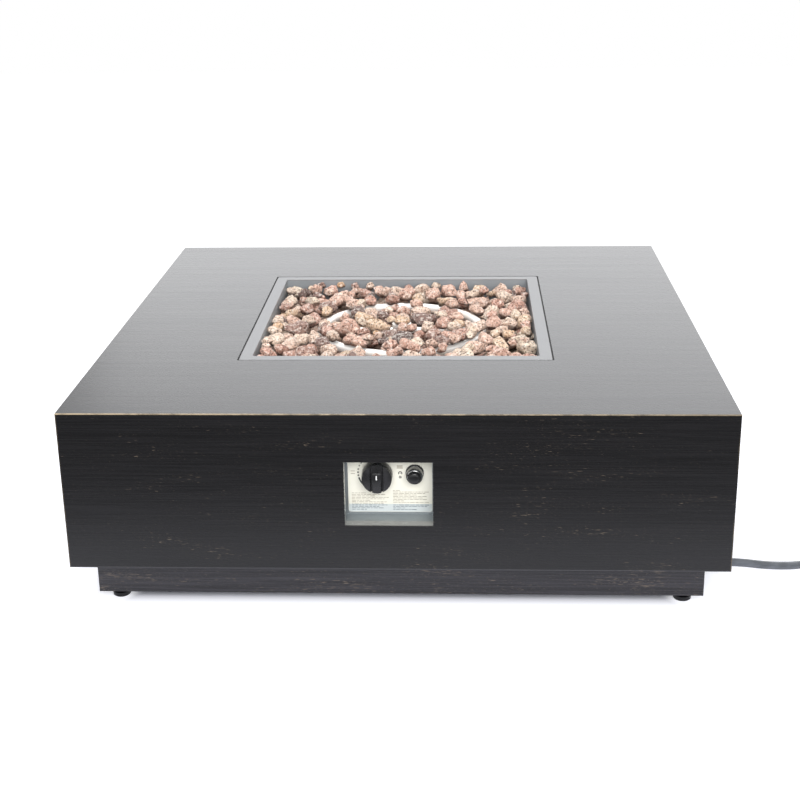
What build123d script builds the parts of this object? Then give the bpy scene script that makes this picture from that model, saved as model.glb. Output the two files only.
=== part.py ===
from build123d import *
import math
import os

os.makedirs("parts", exist_ok=True)

# Table body, all sizes in millimetres
TABLE_SIDE = 940.0
FOOT_HEIGHT = 17.0
PLINTH_HEIGHT = 55.0
APRON_HEIGHT = 236.0
PLINTH_INSET = 31.0
SHEET = 1.5
EDGE_ROUND = 1.0
TOP_FLANGE = 20.0
APRON_FLANGE = 62.0
PLINTH_FLANGE = 40.0
FLANGE_GAP = 0.5
POST_LEG = 25.0
POST_SHEET = 2.0

# Fasteners between apron and plinth
BOLT_R = 3.0
BOLT_CLEAR = 0.3
NUT_FIT = 0.05
BOLT_SPAN = 260.0
BOLT_INSET = 45.0
BOLT_HEAD = 4.0
BOLT_NUT = 5.0
BOLT_FLATS = 10.0

# Levelling feet
FOOT_INSET = 26.0
PAD_R = 13.0
PAD_HEIGHT = 7.0
NECK_R = 8.0
STUD_R = 4.0
STUD_FIT = 0.05
STUD_LENGTH = 32.0
STUD_CLEAR = 2.0
GUSSET = 64.0
GUSSET_SHEET = 3.0
WELD_NUT_R = 8.0
WELD_NUT_HEIGHT = 8.0

# Fire bowl
FIRE_X = -10.0
OPENING = 484.0
OPENING_ROUND = 3.0
PAN_GAP = 2.5
PAN_RIM = 17.0
PAN_DEPTH = 76.0
WALL_ROUND = 4.0
LEDGE_LAP = 20.0
LEDGE_REACH = 12.0
LEDGE_DROP = 20.0
DRAIN_R = 4.0
DRAIN_SPAN = 180.0

# Burner
RING_OUTER = 286.0
TUBE_R = 8.0
TUBE_WALL = 1.0
CROSS_R = 5.0
CROSS_GAP = 0.1
RING_DEPTH = 28.0
PORT_R = 1.2
PORT_COUNT = 32
HUB_R = 16.0
HUB_RISE = 4.0
COLLAR_R = 20.0
COLLAR_HEIGHT = 5.0
NIPPLE_R = 10.6
NIPPLE_BORE = 7.8
NIPPLE_DROP = 24.0
HOLE_CLEAR = 0.6
THREAD_FIT = 0.05
LOCK_FLATS = 32.0
LOCK_HEIGHT = 8.0
MIXER_R = 15.0
MIXER_LENGTH = 60.0
MIXER_SOCKET = 10.0
MIXER_FLOOR = 4.0
AIR_SLOT = 9.0
AIR_SLOT_HEIGHT = 18.0
ORIFICE_R = 6.0
ORIFICE_RISE = 8.0
ORIFICE_FLATS = 20.0
ORIFICE_HEX = 8.0
ELBOW_R = 9.0
ELBOW_DROP = 12.0
ELBOW_REACH = 26.0
SUPPLY_R = 5.0
SUPPLY_BORE = 4.0

# Heat shield
SHIELD_SIDE = 320.0
SHIELD_SHEET = 1.0
SHIELD_DROP = 30.0
SPACER_SPAN = 130.0
SPACER_R = 5.0
SPACER_PIN = 2.5
SPACER_HEAD = 2.5
MIXER_CLEAR = 3.0

# Flame sensing
PILOT_Y = -112.0
PILOT_SPREAD = 12.0
BRACKET_WIDTH = 52.0
BRACKET_DEPTH = 32.0
BRACKET_SHELF = 18.5
BRACKET_SHEET = 1.5
ROD_FIT = 0.1
PROBE_R = 3.0
PROBE_RISE = 22.0
CERAMIC_R = 4.0
CERAMIC_RISE = 18.0
TIP_R = 1.0
TIP_RISE = 10.0
ROD_COLLAR = 2.0
ROD_COLLAR_HEIGHT = 3.0
ROD_FOOT = 4.0
LEAD_HOLE = 4.5
PROBE_LEAD_R = 1.2
SPARK_LEAD_R = 2.0

# Lava rock
BED_DEPTH = 50.0
BED_CLEAR = 0.4
ROCK_GAP = 0.5
ROCK_REST = 0.2
ROCK_CORNERS = 15
ROCK_SIZES = (20.0, 17.0, 14.0, 11.5)
ROCK_TRIES = 1200
RING_ROCKS = 16
RING_ROCK_R = 5.2

# Control niche
WINDOW_WIDTH = 124.0
WINDOW_HEIGHT = 96.0
WINDOW_DROP = 120.0
LIP_DEPTH = 16.0
NICHE_DEPTH = 43.0
BOX_SHEET = 1.0
BOX_FIT = 0.3
BOX_FLANGE = 12.0
PLATE_SHEET = 1.5
LABEL_WIDTH = 120.0
LABEL_HEIGHT = 92.0
LABEL_ROUND = 4.0
LABEL_SHEET = 0.4
PLATE_SCREW_R = 2.0
PLATE_SCREW_HEAD = 3.5
SCREW_CLEAR = 0.2

# Knob and gas valve
AXIS_DROP = 105.0
KNOB_X = -27.4
KNOB_R = 22.0
KNOB_GAP = 5.5
KNOB_SKIRT = 20.0
KNOB_DRAFT = 2.0
KNOB_GRIP = 4.0
GRIP_WIDTH = 15.0
GRIP_TAPER = 6.0
GRIP_INSET = 2.0
GRIP_CREST = 11.0
KNOB_WALL = 2.5
KNOB_HUB_R = 8.5
KNOB_RECESS = 7.0
KNOB_BORE = 16.0
POINTER_WIDTH = 1.8
POINTER_LENGTH = 6.5
POINTER_RISE = 4.0
POINTER_POCKET = 0.5
POINTER_SHEET = 0.7
POINTER_FIT = 0.05
STEM_R = 4.0
STEM_FLAT = 3.0
STEM_FIT = 0.05
STEM_HOLE = 6.0
SPRING_OUTER = 5.6
SPRING_INNER = 4.6
SPRING_END = 0.2
PLUG_R = 9.0
PLUG_FIT = 0.05
PLUG_LENGTH = 38.0
PLUG_END = 0.3
VALVE_WIDTH = 40.0
VALVE_HEIGHT = 38.0
VALVE_DEPTH = 55.5
VALVE_ROUND = 3.0
VALVE_SCREW_SPAN = 14.0
VALVE_SCREW_LENGTH = 10.0
VALVE_SCREW_HEAD = 2.2
LABEL_STEM_HOLE = 18.0
OUTLET_DROP = 10.0
OUTLET_R = 8.0
OUTLET_LENGTH = 14.0
MAGNET_RISE = 10.0
MAGNET_R = 7.0
MAGNET_LENGTH = 24.0
INLET_BACK = 10.0
INLET_FLATS = 17.0
INLET_HEX = 12.0
INLET_R = 9.0
INLET_LENGTH = 22.0

# Igniter
IGNITER_X = 25.3
BARREL_R = 10.5
BARREL_CLEAR = 0.3
BARREL_LENGTH = 72.0
BARREL_WALL = 16.0
FLANGE_R = 13.0
FLANGE_HEIGHT = 2.0
THREAD_R = 9.6
THREAD_LENGTH = 4.6
THREAD_GAP = 0.1
CAP_R = 12.0
CAP_LENGTH = 15.6
CAP_FRONT = 1.5
CAP_CAVITY = 10.0
BUTTON_R = 8.3
BUTTON_FIT = 0.1
BUTTON_RISE = 7.0
BUTTON_SKIRT_R = 9.6
BUTTON_SKIRT = 1.5
BUTTON_STOP = 0.2
BATTERY_R = 7.25
BATTERY_LENGTH = 50.5
BATTERY_CLEAR = 0.35
TERMINAL_WIDTH = 6.3
TERMINAL_SHEET = 0.8
TERMINAL_LENGTH = 9.0
TERMINAL_SPREAD = 5.0
IGNITER_FLATS = 27.0
IGNITER_NUT = 6.0

# Gas hose
HOSE_R = 6.25
HOSE_Y = -380.0
HOSE_Z = 42.0
HOSE_LIFT = 1.8
HOSE_BORE_FIT = 0.1
GROMMET_HOLE = 11.0
GROMMET_FIT = 0.2
GROMMET_LIP_R = 14.0
GROMMET_LIP = 3.5
GROMMET_NOSE = 9.5
GROMMET_NOSE_R = 8.5
BEND_SHARE = 0.45
COIL_X = 760.0
COIL_Y = -60.0
COIL_R = 76.0
COIL_GAP = 0.5
COIL_LOWER = 3
COIL_UPPER = 2
TIE_WIDTH = 10.0
TIE_SHEET = 1.0
TIE_CLEAR = 0.5

# Regulator and tank coupling
FERRULE_R = 9.0
FERRULE_LENGTH = 26.0
REGULATOR_R = 33.0
REGULATOR_AXIS = 24.5
REGULATOR_BELOW = 16.0
REGULATOR_ABOVE = 8.0
BONNET_R = 30.0
BONNET_HEIGHT = 12.0
VENT_R = 6.0
VENT_HEIGHT = 3.0
PORT_BOSS_R = 10.0
PORT_BOSS = 8.0
COUPLING_R = 8.0
COUPLING_FIT = 0.1
COUPLING_BACK = 8.0
COUPLING_HEAD_R = 13.0
COUPLING_HEAD = 4.0
COUPLING_REACH = 24.0
NUT_R = 23.0
NUT_LENGTH = 38.0
NUT_WALL = 10.0
NUT_CAVITY = 16.7
NUT_RIBS = 16
NUT_RIB_R = 1.4
NUT_SHAKE = 0.4

# Levels and planes that follow from the sizes
HALF = TABLE_SIDE / 2
PLINTH_HALF = HALF - PLINTH_INSET
Z_PLINTH = FOOT_HEIGHT
Z_APRON = Z_PLINTH + PLINTH_HEIGHT
Z_TOP = Z_APRON + APRON_HEIGHT
Z_UNDER = Z_TOP - SHEET
BOLT_AT = HALF - BOLT_INSET
FOOT_AT = PLINTH_HALF - FOOT_INSET
PAN_OUT = OPENING - 2 * PAN_GAP
WALL_OUT = PAN_OUT - 2 * PAN_RIM
WALL_IN = WALL_OUT - 2 * SHEET
Z_PAN = Z_TOP - PAN_DEPTH
Z_FLOOR = Z_PAN + SHEET
RING_R = RING_OUTER / 2 - TUBE_R
Z_RING = Z_TOP - RING_DEPTH
Z_NIPPLE = Z_PAN - NIPPLE_DROP
Z_MIXER = Z_NIPPLE - MIXER_LENGTH
Z_ELBOW = Z_MIXER - ORIFICE_HEX - ELBOW_DROP
Z_SHIELD = Z_PAN - SHIELD_DROP
Z_SHELF = Z_FLOOR + BRACKET_SHELF
Z_BED = Z_TOP - BED_DEPTH
Z_WINDOW = Z_TOP - WINDOW_DROP
Z_AXIS = Z_TOP - AXIS_DROP
Y_PLATE = -HALF + NICHE_DEPTH
Y_BACK = Y_PLATE + PLATE_SHEET
Y_LABEL = Y_PLATE - LABEL_SHEET
Y_KNOB = Y_LABEL - KNOB_GAP
Y_GRIP = Y_KNOB - KNOB_SKIRT
Y_FACE = Y_GRIP - KNOB_GRIP
Y_VALVE = Y_BACK + VALVE_DEPTH
Y_FLANGE = Y_LABEL - FLANGE_HEIGHT
Y_CAP = Y_FLANGE - CAP_LENGTH
Z_INLET = Z_AXIS - VALVE_HEIGHT / 2 - INLET_HEX - INLET_LENGTH
X_EXIT = PLINTH_HALF + GROMMET_LIP + GROMMET_NOSE
Z_HOSE = HOSE_R + HOSE_LIFT
COIL_PITCH = 2 * HOSE_R + COIL_GAP
CORNERS = [(sx, sy) for sx in (-1, 1) for sy in (-1, 1)]


def save(builder, name):
    builder.part.label = name
    export_step(builder.part, f"parts/{name}.step")


# Block between two opposite corners
def block(a, b, mode=Mode.ADD):
    size = [abs(q - p) for p, q in zip(a, b)]
    middle = [(p + q) / 2 for p, q in zip(a, b)]
    with Locations(tuple(middle)):
        Box(*size, mode=mode)


# Round bar from one point along a row axis
def rod(start, axis, length, radius, mode=Mode.ADD):
    turn = {"x": (0, 90, 0), "y": (90, 0, 0), "z": (0, 0, 0)}[axis]
    step = {"x": (1, 0, 0), "y": (0, 1, 0), "z": (0, 0, 1)}[axis]
    middle = tuple(s + d * length / 2 for s, d in zip(start, step))
    with Locations(middle):
        Cylinder(radius, abs(length), rotation=turn, mode=mode)


# Hexagon bar across the flats, from one plane
def hexagon(plane, flats, length, mode=Mode.ADD):
    with BuildSketch(plane) as outline:
        RegularPolygon(flats / 2, 6, major_radius=False)
    extrude(outline.sketch, amount=length, mode=mode)


# Radius at each corner of a route, from its shorter neighbouring run
def bend_radii(points):
    radii = []
    for before, here, after in zip(points, points[1:], points[2:]):
        inward = Vector(here) - Vector(before)
        onward = Vector(after) - Vector(here)
        turn = math.radians(inward.get_angle(onward))
        shorter = min(inward.length, onward.length)
        radii.append(BEND_SHARE * shorter / math.tan(turn / 2))
    return radii


# Round tube along straight runs with tangent bends
def route(points, radius, bore=0.0):
    with BuildLine(mode=Mode.PRIVATE) as path:
        FilletPolyline(*points, radius=bend_radii(points))
    line = path.wire()
    follow(line, radius, bore)
    return line


def follow(line, radius, bore=0.0):
    start = Plane(origin=line @ 0, z_dir=line % 0)
    with BuildSketch(start) as section:
        Circle(radius)
        if bore > 0:
            Circle(bore, mode=Mode.SUBTRACT)
    sweep(section.sketch, path=line)


# Body sheets
with BuildPart() as top_panel:
    with BuildSketch(Plane.XY.offset(Z_UNDER)):
        Rectangle(TABLE_SIDE, TABLE_SIDE)
        with Locations((FIRE_X, 0)):
            RectangleRounded(OPENING, OPENING, OPENING_ROUND, mode=Mode.SUBTRACT)
    extrude(amount=SHEET)
    rims = top_panel.edges().group_by(Axis.Z)[-1]
    fillet([e for e in rims if e.length > TABLE_SIDE - 1], EDGE_ROUND)
save(top_panel, "top_panel")


# Apron sheet across the front or back, flanged top and bottom
def long_apron(side):
    inner = side * (HALF - SHEET)
    block((-HALF, side * HALF, Z_APRON), (HALF, inner, Z_UNDER))
    block((-HALF + SHEET, inner, Z_UNDER - SHEET), (HALF - SHEET, side * (HALF - TOP_FLANGE), Z_UNDER))
    block((-HALF + SHEET, inner, Z_APRON), (HALF - SHEET, side * (HALF - APRON_FLANGE), Z_APRON + SHEET))
    for x in (-BOLT_SPAN, BOLT_SPAN):
        rod((x, side * BOLT_AT, Z_APRON), "z", SHEET, BOLT_R + BOLT_CLEAR, Mode.SUBTRACT)


# Apron sheet between the front and back sheets
def short_apron(side):
    inner = side * (HALF - SHEET)
    run = HALF - SHEET
    top_run = HALF - TOP_FLANGE - FLANGE_GAP
    low_run = HALF - APRON_FLANGE - FLANGE_GAP
    block((side * HALF, -run, Z_APRON), (inner, run, Z_UNDER))
    block((inner, -top_run, Z_UNDER - SHEET), (side * (HALF - TOP_FLANGE), top_run, Z_UNDER))
    block((inner, -low_run, Z_APRON), (side * (HALF - APRON_FLANGE), low_run, Z_APRON + SHEET))
    for y in (-BOLT_SPAN, BOLT_SPAN):
        rod((side * BOLT_AT, y, Z_APRON), "z", SHEET, BOLT_R + BOLT_CLEAR, Mode.SUBTRACT)


# Rounds the outer upright edges of a sheet
def round_uprights(builder, side):
    outer = builder.edges().filter_by(Axis.Z).filter_by_position(Axis.Y, side * HALF, side * HALF)
    ends = [e for e in outer if abs(abs(e.center().X) - HALF) < SHEET]
    fillet(ends, EDGE_ROUND)


with BuildPart() as front_panel:
    long_apron(-1)
    lip_x = WINDOW_WIDTH / 2 + SHEET
    lip_z = WINDOW_HEIGHT / 2 + SHEET
    block((FIRE_X - lip_x, -HALF, Z_WINDOW - lip_z), (FIRE_X + lip_x, -HALF + LIP_DEPTH, Z_WINDOW + lip_z))
    with Locations((FIRE_X, -HALF + LIP_DEPTH / 2, Z_WINDOW)):
        Box(WINDOW_WIDTH, LIP_DEPTH, WINDOW_HEIGHT, mode=Mode.SUBTRACT)
    round_uprights(front_panel, -1)
    face = front_panel.faces().sort_by(Axis.Y)[0]
    fillet(face.inner_wires()[0].edges(), EDGE_ROUND)
save(front_panel, "front_panel")

with BuildPart() as back_panel:
    long_apron(1)
    round_uprights(back_panel, 1)
save(back_panel, "back_panel")

with BuildPart() as left_panel:
    short_apron(-1)
save(left_panel, "left_panel")

with BuildPart() as right_panel:
    short_apron(1)
save(right_panel, "right_panel")

with BuildPart() as corner_posts:
    for sx, sy in CORNERS:
        out_x = sx * (HALF - SHEET)
        out_y = sy * (HALF - SHEET)
        low = Z_APRON + SHEET
        high = Z_UNDER - SHEET
        block((out_x, out_y, low), (out_x - sx * POST_LEG, out_y - sy * POST_SHEET, high))
        block((out_x, out_y, low), (out_x - sx * POST_SHEET, out_y - sy * POST_LEG, high))
save(corner_posts, "corner_posts")


# Plinth rail across the front or back, a channel open to the inside
def long_rail(side):
    inner = side * (PLINTH_HALF - SHEET)
    deep = side * (PLINTH_HALF - PLINTH_FLANGE)
    run = PLINTH_HALF - SHEET
    block((-PLINTH_HALF, side * PLINTH_HALF, Z_PLINTH), (PLINTH_HALF, inner, Z_APRON))
    block((-run, inner, Z_PLINTH), (run, deep, Z_PLINTH + SHEET))
    block((-run, inner, Z_APRON - SHEET), (run, deep, Z_APRON))
    for x in (-BOLT_SPAN, BOLT_SPAN):
        rod((x, side * BOLT_AT, Z_APRON - SHEET), "z", SHEET, BOLT_R + BOLT_CLEAR, Mode.SUBTRACT)
    for x in (-FOOT_AT, FOOT_AT):
        rod((x, side * FOOT_AT, Z_PLINTH), "z", SHEET, STUD_R + STUD_CLEAR, Mode.SUBTRACT)


# Plinth rail between the front and back rails
def short_rail(side):
    inner = side * (PLINTH_HALF - SHEET)
    deep = side * (PLINTH_HALF - PLINTH_FLANGE)
    run = PLINTH_HALF - SHEET
    flange_run = PLINTH_HALF - PLINTH_FLANGE - FLANGE_GAP
    block((side * PLINTH_HALF, -run, Z_PLINTH), (inner, run, Z_APRON))
    block((inner, -flange_run, Z_PLINTH), (deep, flange_run, Z_PLINTH + SHEET))
    block((inner, -flange_run, Z_APRON - SHEET), (deep, flange_run, Z_APRON))
    for y in (-BOLT_SPAN, BOLT_SPAN):
        rod((side * BOLT_AT, y, Z_APRON - SHEET), "z", SHEET, BOLT_R + BOLT_CLEAR, Mode.SUBTRACT)


with BuildPart() as plinth_front:
    long_rail(-1)
save(plinth_front, "plinth_front")

with BuildPart() as plinth_back:
    long_rail(1)
save(plinth_back, "plinth_back")

with BuildPart() as plinth_left:
    short_rail(-1)
save(plinth_left, "plinth_left")

with BuildPart() as plinth_right:
    short_rail(1)
    rod((PLINTH_HALF - SHEET, HOSE_Y, HOSE_Z), "x", SHEET, GROMMET_HOLE, Mode.SUBTRACT)
save(plinth_right, "plinth_right")

with BuildPart() as foot_gussets:
    for sx, sy in CORNERS:
        low = Z_PLINTH + SHEET
        corner = (sx * (PLINTH_HALF - SHEET), sy * (PLINTH_HALF - SHEET), low)
        far = (corner[0] - sx * GUSSET, corner[1] - sy * GUSSET, low + GUSSET_SHEET)
        block(corner, far)
        at = (sx * FOOT_AT, sy * FOOT_AT, low)
        rod(at, "z", GUSSET_SHEET + WELD_NUT_HEIGHT, WELD_NUT_R)
        rod(at, "z", GUSSET_SHEET + WELD_NUT_HEIGHT, STUD_R + STUD_FIT, Mode.SUBTRACT)
save(foot_gussets, "foot_gussets")

with BuildPart() as base_bolts:
    spots = [(sx * BOLT_SPAN, sy * BOLT_AT) for sx, sy in CORNERS]
    spots = spots + [(sx * BOLT_AT, sy * BOLT_SPAN) for sx, sy in CORNERS]
    for x, y in spots:
        under = Z_APRON - SHEET
        over = Z_APRON + SHEET
        hexagon(Plane((x, y, under - BOLT_HEAD)), BOLT_FLATS, BOLT_HEAD)
        hexagon(Plane((x, y, over)), BOLT_FLATS, BOLT_NUT)
        rod((x, y, over), "z", BOLT_NUT, BOLT_R + NUT_FIT, Mode.SUBTRACT)
        rod((x, y, under), "z", 2 * SHEET + BOLT_NUT + BOLT_R, BOLT_R)
save(base_bolts, "base_bolts")


# Levelling foot, turned about its own upright axis
def levelling_foot(sx, sy):
    with BuildSketch(Plane.XZ.offset(-sy * FOOT_AT)) as profile:
        with BuildLine():
            Polyline(
                (sx * FOOT_AT, 0),
                (sx * FOOT_AT + PAD_R - 1.5, 0),
                (sx * FOOT_AT + PAD_R, 1.5),
                (sx * FOOT_AT + PAD_R, PAD_HEIGHT),
                (sx * FOOT_AT + NECK_R, PAD_HEIGHT + 2),
                (sx * FOOT_AT + NECK_R, FOOT_HEIGHT),
                (sx * FOOT_AT + STUD_R, FOOT_HEIGHT),
                (sx * FOOT_AT + STUD_R, FOOT_HEIGHT + STUD_LENGTH - 1),
                (sx * FOOT_AT + STUD_R - 1, FOOT_HEIGHT + STUD_LENGTH),
                (sx * FOOT_AT, FOOT_HEIGHT + STUD_LENGTH),
                close=True,
            )
        make_face()
    revolve(profile.sketch, axis=Axis((sx * FOOT_AT, sy * FOOT_AT, 0), (0, 0, 1)))


for sx, sy in CORNERS:
    with BuildPart() as foot:
        levelling_foot(sx, sy)
    side_name = "left" if sx < 0 else "right"
    end_name = "front" if sy < 0 else "back"
    save(foot, f"foot_{end_name}_{side_name}")

# Ledge under the opening that carries the pan's rim
with BuildPart() as pan_ledge:
    out = OPENING / 2 + LEDGE_LAP
    reach = OPENING / 2 - LEDGE_REACH
    low = Z_UNDER - SHEET
    for s in (-1, 1):
        block((FIRE_X - out, s * out, low), (FIRE_X + out, s * reach, Z_UNDER))
        block((FIRE_X - out, s * out, low - LEDGE_DROP), (FIRE_X + out, s * (out - SHEET), low))
        run = reach - FLANGE_GAP
        block((FIRE_X + s * out, -run, low), (FIRE_X + s * reach, run, Z_UNDER))
        block((FIRE_X + s * out, -run, low - LEDGE_DROP), (FIRE_X + s * (out - SHEET), run, low))
save(pan_ledge, "pan_ledge")

with BuildPart() as burner_pan:
    with BuildSketch(Plane.XY.offset(Z_UNDER)):
        with Locations((FIRE_X, 0)):
            RectangleRounded(PAN_OUT, PAN_OUT, OPENING_ROUND)
    extrude(amount=SHEET)
    with BuildSketch(Plane.XY.offset(Z_PAN)):
        with Locations((FIRE_X, 0)):
            RectangleRounded(WALL_OUT, WALL_OUT, WALL_ROUND)
    extrude(amount=PAN_DEPTH)
    with BuildSketch(Plane.XY.offset(Z_FLOOR)):
        with Locations((FIRE_X, 0)):
            RectangleRounded(WALL_IN, WALL_IN, WALL_ROUND - SHEET)
    extrude(amount=PAN_DEPTH, mode=Mode.SUBTRACT)
    rod((FIRE_X, 0, Z_PAN), "z", SHEET, NIPPLE_R + HOLE_CLEAR, Mode.SUBTRACT)
    for s in (-1, 1):
        rod((FIRE_X + s * PILOT_SPREAD, PILOT_Y, Z_PAN), "z", SHEET, LEAD_HOLE, Mode.SUBTRACT)
    for sx, sy in CORNERS:
        rod((FIRE_X + sx * DRAIN_SPAN, sy * DRAIN_SPAN, Z_PAN), "z", SHEET, DRAIN_R, Mode.SUBTRACT)
save(burner_pan, "burner_pan")

with BuildPart() as heat_shield:
    low = Z_SHIELD - SHIELD_SHEET
    half = SHIELD_SIDE / 2
    block((FIRE_X - half, -half, low), (FIRE_X + half, half, Z_SHIELD))
    rod((FIRE_X, 0, low), "z", SHIELD_SHEET, MIXER_R + MIXER_CLEAR, Mode.SUBTRACT)
    for sx, sy in CORNERS:
        at = (FIRE_X + sx * SPACER_SPAN, sy * SPACER_SPAN, low)
        rod(at, "z", SHIELD_SHEET, SPACER_PIN + SCREW_CLEAR, Mode.SUBTRACT)
save(heat_shield, "heat_shield")

with BuildPart() as shield_spacers:
    for sx, sy in CORNERS:
        x = FIRE_X + sx * SPACER_SPAN
        y = sy * SPACER_SPAN
        low = Z_SHIELD - SHIELD_SHEET
        rod((x, y, Z_SHIELD), "z", SHIELD_DROP, SPACER_R)
        rod((x, y, low), "z", SHIELD_SHEET, SPACER_PIN)
        rod((x, y, low - SPACER_HEAD), "z", SPACER_HEAD, SPACER_R)
save(shield_spacers, "shield_spacers")

# Two half hoops of burner tube, and the cross tube with hub and threaded nipple that feeds them
with BuildPart() as burner_ring:
    reach = RING_R - TUBE_R - CROSS_GAP
    rod((FIRE_X - reach, 0, Z_RING), "x", 2 * reach, CROSS_R)
    rod((FIRE_X, 0, Z_FLOOR), "z", Z_RING + TUBE_R + HUB_RISE - Z_FLOOR, HUB_R)
    rod((FIRE_X, 0, Z_FLOOR), "z", COLLAR_HEIGHT, COLLAR_R)
    rod((FIRE_X, 0, Z_NIPPLE), "z", Z_FLOOR - Z_NIPPLE, NIPPLE_R)
    rod((FIRE_X - reach, 0, Z_RING), "x", 2 * reach, CROSS_R - TUBE_WALL, Mode.SUBTRACT)
    rod((FIRE_X, 0, Z_NIPPLE), "z", Z_RING - Z_NIPPLE, NIPPLE_BORE, Mode.SUBTRACT)
    for side in (1, -1):
        middle = Vector(FIRE_X, side * CROSS_GAP / 2, Z_RING)
        with BuildSketch(Plane(middle, x_dir=(side, 0, 0), z_dir=(0, -side, 0))) as wall:
            with Locations((RING_R, 0)):
                Circle(TUBE_R)
                Circle(TUBE_R - TUBE_WALL, mode=Mode.SUBTRACT)
        revolve(wall.sketch, axis=Axis(middle, (0, 0, 1)), revolution_arc=180)
    with Locations((FIRE_X, 0, Z_RING + TUBE_R)):
        with PolarLocations(RING_R, PORT_COUNT, start_angle=180 / PORT_COUNT):
            Cylinder(PORT_R, 4 * TUBE_WALL, mode=Mode.SUBTRACT)
save(burner_ring, "burner_ring")

with BuildPart() as burner_lock_nut:
    hexagon(Plane((FIRE_X, 0, Z_PAN - LOCK_HEIGHT)), LOCK_FLATS, LOCK_HEIGHT)
    rod((FIRE_X, 0, Z_PAN - LOCK_HEIGHT), "z", LOCK_HEIGHT, NIPPLE_R + THREAD_FIT, Mode.SUBTRACT)
save(burner_lock_nut, "burner_lock_nut")

with BuildPart() as air_mixer:
    at = (FIRE_X, 0, Z_MIXER)
    rod(at, "z", MIXER_LENGTH + MIXER_SOCKET, MIXER_R)
    rod((FIRE_X, 0, Z_NIPPLE), "z", MIXER_SOCKET, NIPPLE_R + THREAD_FIT, Mode.SUBTRACT)
    rod((FIRE_X, 0, Z_MIXER + MIXER_FLOOR), "z", MIXER_LENGTH, NIPPLE_BORE, Mode.SUBTRACT)
    rod(at, "z", MIXER_FLOOR, ORIFICE_R + THREAD_FIT, Mode.SUBTRACT)
    with Locations((FIRE_X, 0, Z_MIXER + MIXER_FLOOR + AIR_SLOT_HEIGHT)):
        Box(2.2 * MIXER_R, AIR_SLOT, AIR_SLOT_HEIGHT, mode=Mode.SUBTRACT)
save(air_mixer, "air_mixer")

with BuildPart() as gas_orifice:
    rod((FIRE_X, 0, Z_MIXER), "z", ORIFICE_RISE, ORIFICE_R)
    hexagon(Plane((FIRE_X, 0, Z_MIXER - ORIFICE_HEX)), ORIFICE_FLATS, ORIFICE_HEX)
    rod((FIRE_X, 0, Z_ELBOW - ELBOW_R), "z", ELBOW_DROP + ELBOW_R, ELBOW_R)
    rod((FIRE_X, 0, Z_ELBOW), "y", -ELBOW_REACH, ELBOW_R - 1)
    rod((FIRE_X, 0, Z_ELBOW), "z", Z_MIXER + ORIFICE_RISE - Z_ELBOW, TIP_R, Mode.SUBTRACT)
    rod((FIRE_X, TIP_R, Z_ELBOW), "y", -ELBOW_REACH - TIP_R, SUPPLY_BORE, Mode.SUBTRACT)
save(gas_orifice, "gas_orifice")

with BuildPart() as supply_tube:
    outlet = (KNOB_X, Y_VALVE + OUTLET_LENGTH, Z_AXIS - OUTLET_DROP)
    away = (KNOB_X, outlet[1] + 45, outlet[2])
    near = (FIRE_X, -ELBOW_REACH - 75, Z_ELBOW)
    half_way = (FIRE_X, near[1] - 90, (outlet[2] + 2 * Z_ELBOW) / 3)
    route([outlet, away, half_way, near, (FIRE_X, -ELBOW_REACH, Z_ELBOW)], SUPPLY_R, SUPPLY_BORE)
save(supply_tube, "supply_tube")

# Flame sensing beside the ring
with BuildPart() as flame_bracket:
    front = PILOT_Y - BRACKET_DEPTH / 2
    back = PILOT_Y + BRACKET_DEPTH / 2
    left = FIRE_X - BRACKET_WIDTH / 2
    right = FIRE_X + BRACKET_WIDTH / 2
    block((left, front, Z_FLOOR), (right, back, Z_FLOOR + BRACKET_SHEET))
    block((left, front, Z_SHELF - BRACKET_SHEET), (right, back, Z_SHELF))
    block((left, back - BRACKET_SHEET, Z_FLOOR), (right, back, Z_SHELF))
    for s, r in ((-1, PROBE_R), (1, CERAMIC_R)):
        at = (FIRE_X + s * PILOT_SPREAD, PILOT_Y, Z_FLOOR)
        rod(at, "z", BRACKET_SHEET, LEAD_HOLE, Mode.SUBTRACT)
        rod((at[0], at[1], Z_SHELF - BRACKET_SHEET), "z", BRACKET_SHEET, r + ROD_FIT, Mode.SUBTRACT)
save(flame_bracket, "flame_bracket")

with BuildPart() as thermocouple:
    at = (FIRE_X - PILOT_SPREAD, PILOT_Y, Z_FLOOR + ROD_FOOT)
    rod(at, "z", Z_SHELF + PROBE_RISE - at[2], PROBE_R)
    rod((at[0], at[1], Z_SHELF), "z", ROD_COLLAR_HEIGHT, PROBE_R + ROD_COLLAR)
save(thermocouple, "thermocouple")

with BuildPart() as ignition_electrode:
    at = (FIRE_X + PILOT_SPREAD, PILOT_Y, Z_FLOOR + ROD_FOOT)
    rod(at, "z", Z_SHELF + CERAMIC_RISE - at[2], CERAMIC_R)
    rod((at[0], at[1], Z_SHELF), "z", ROD_COLLAR_HEIGHT, CERAMIC_R + ROD_COLLAR)
    rod((at[0], at[1], Z_SHELF + CERAMIC_RISE), "z", TIP_RISE, TIP_R)
save(ignition_electrode, "ignition_electrode")

with BuildPart() as thermocouple_lead:
    end = (FIRE_X - PILOT_SPREAD, PILOT_Y, Z_FLOOR + ROD_FOOT)
    start = (KNOB_X, Y_VALVE + MAGNET_LENGTH, Z_AXIS + MAGNET_RISE)
    level = Z_PAN - SHIELD_DROP / 2
    bend = (end[0], end[1], level)
    route([start, (KNOB_X, start[1] + 60, start[2]), (end[0], end[1] - 60, level), bend, end], PROBE_LEAD_R)
save(thermocouple_lead, "thermocouple_lead")

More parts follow.
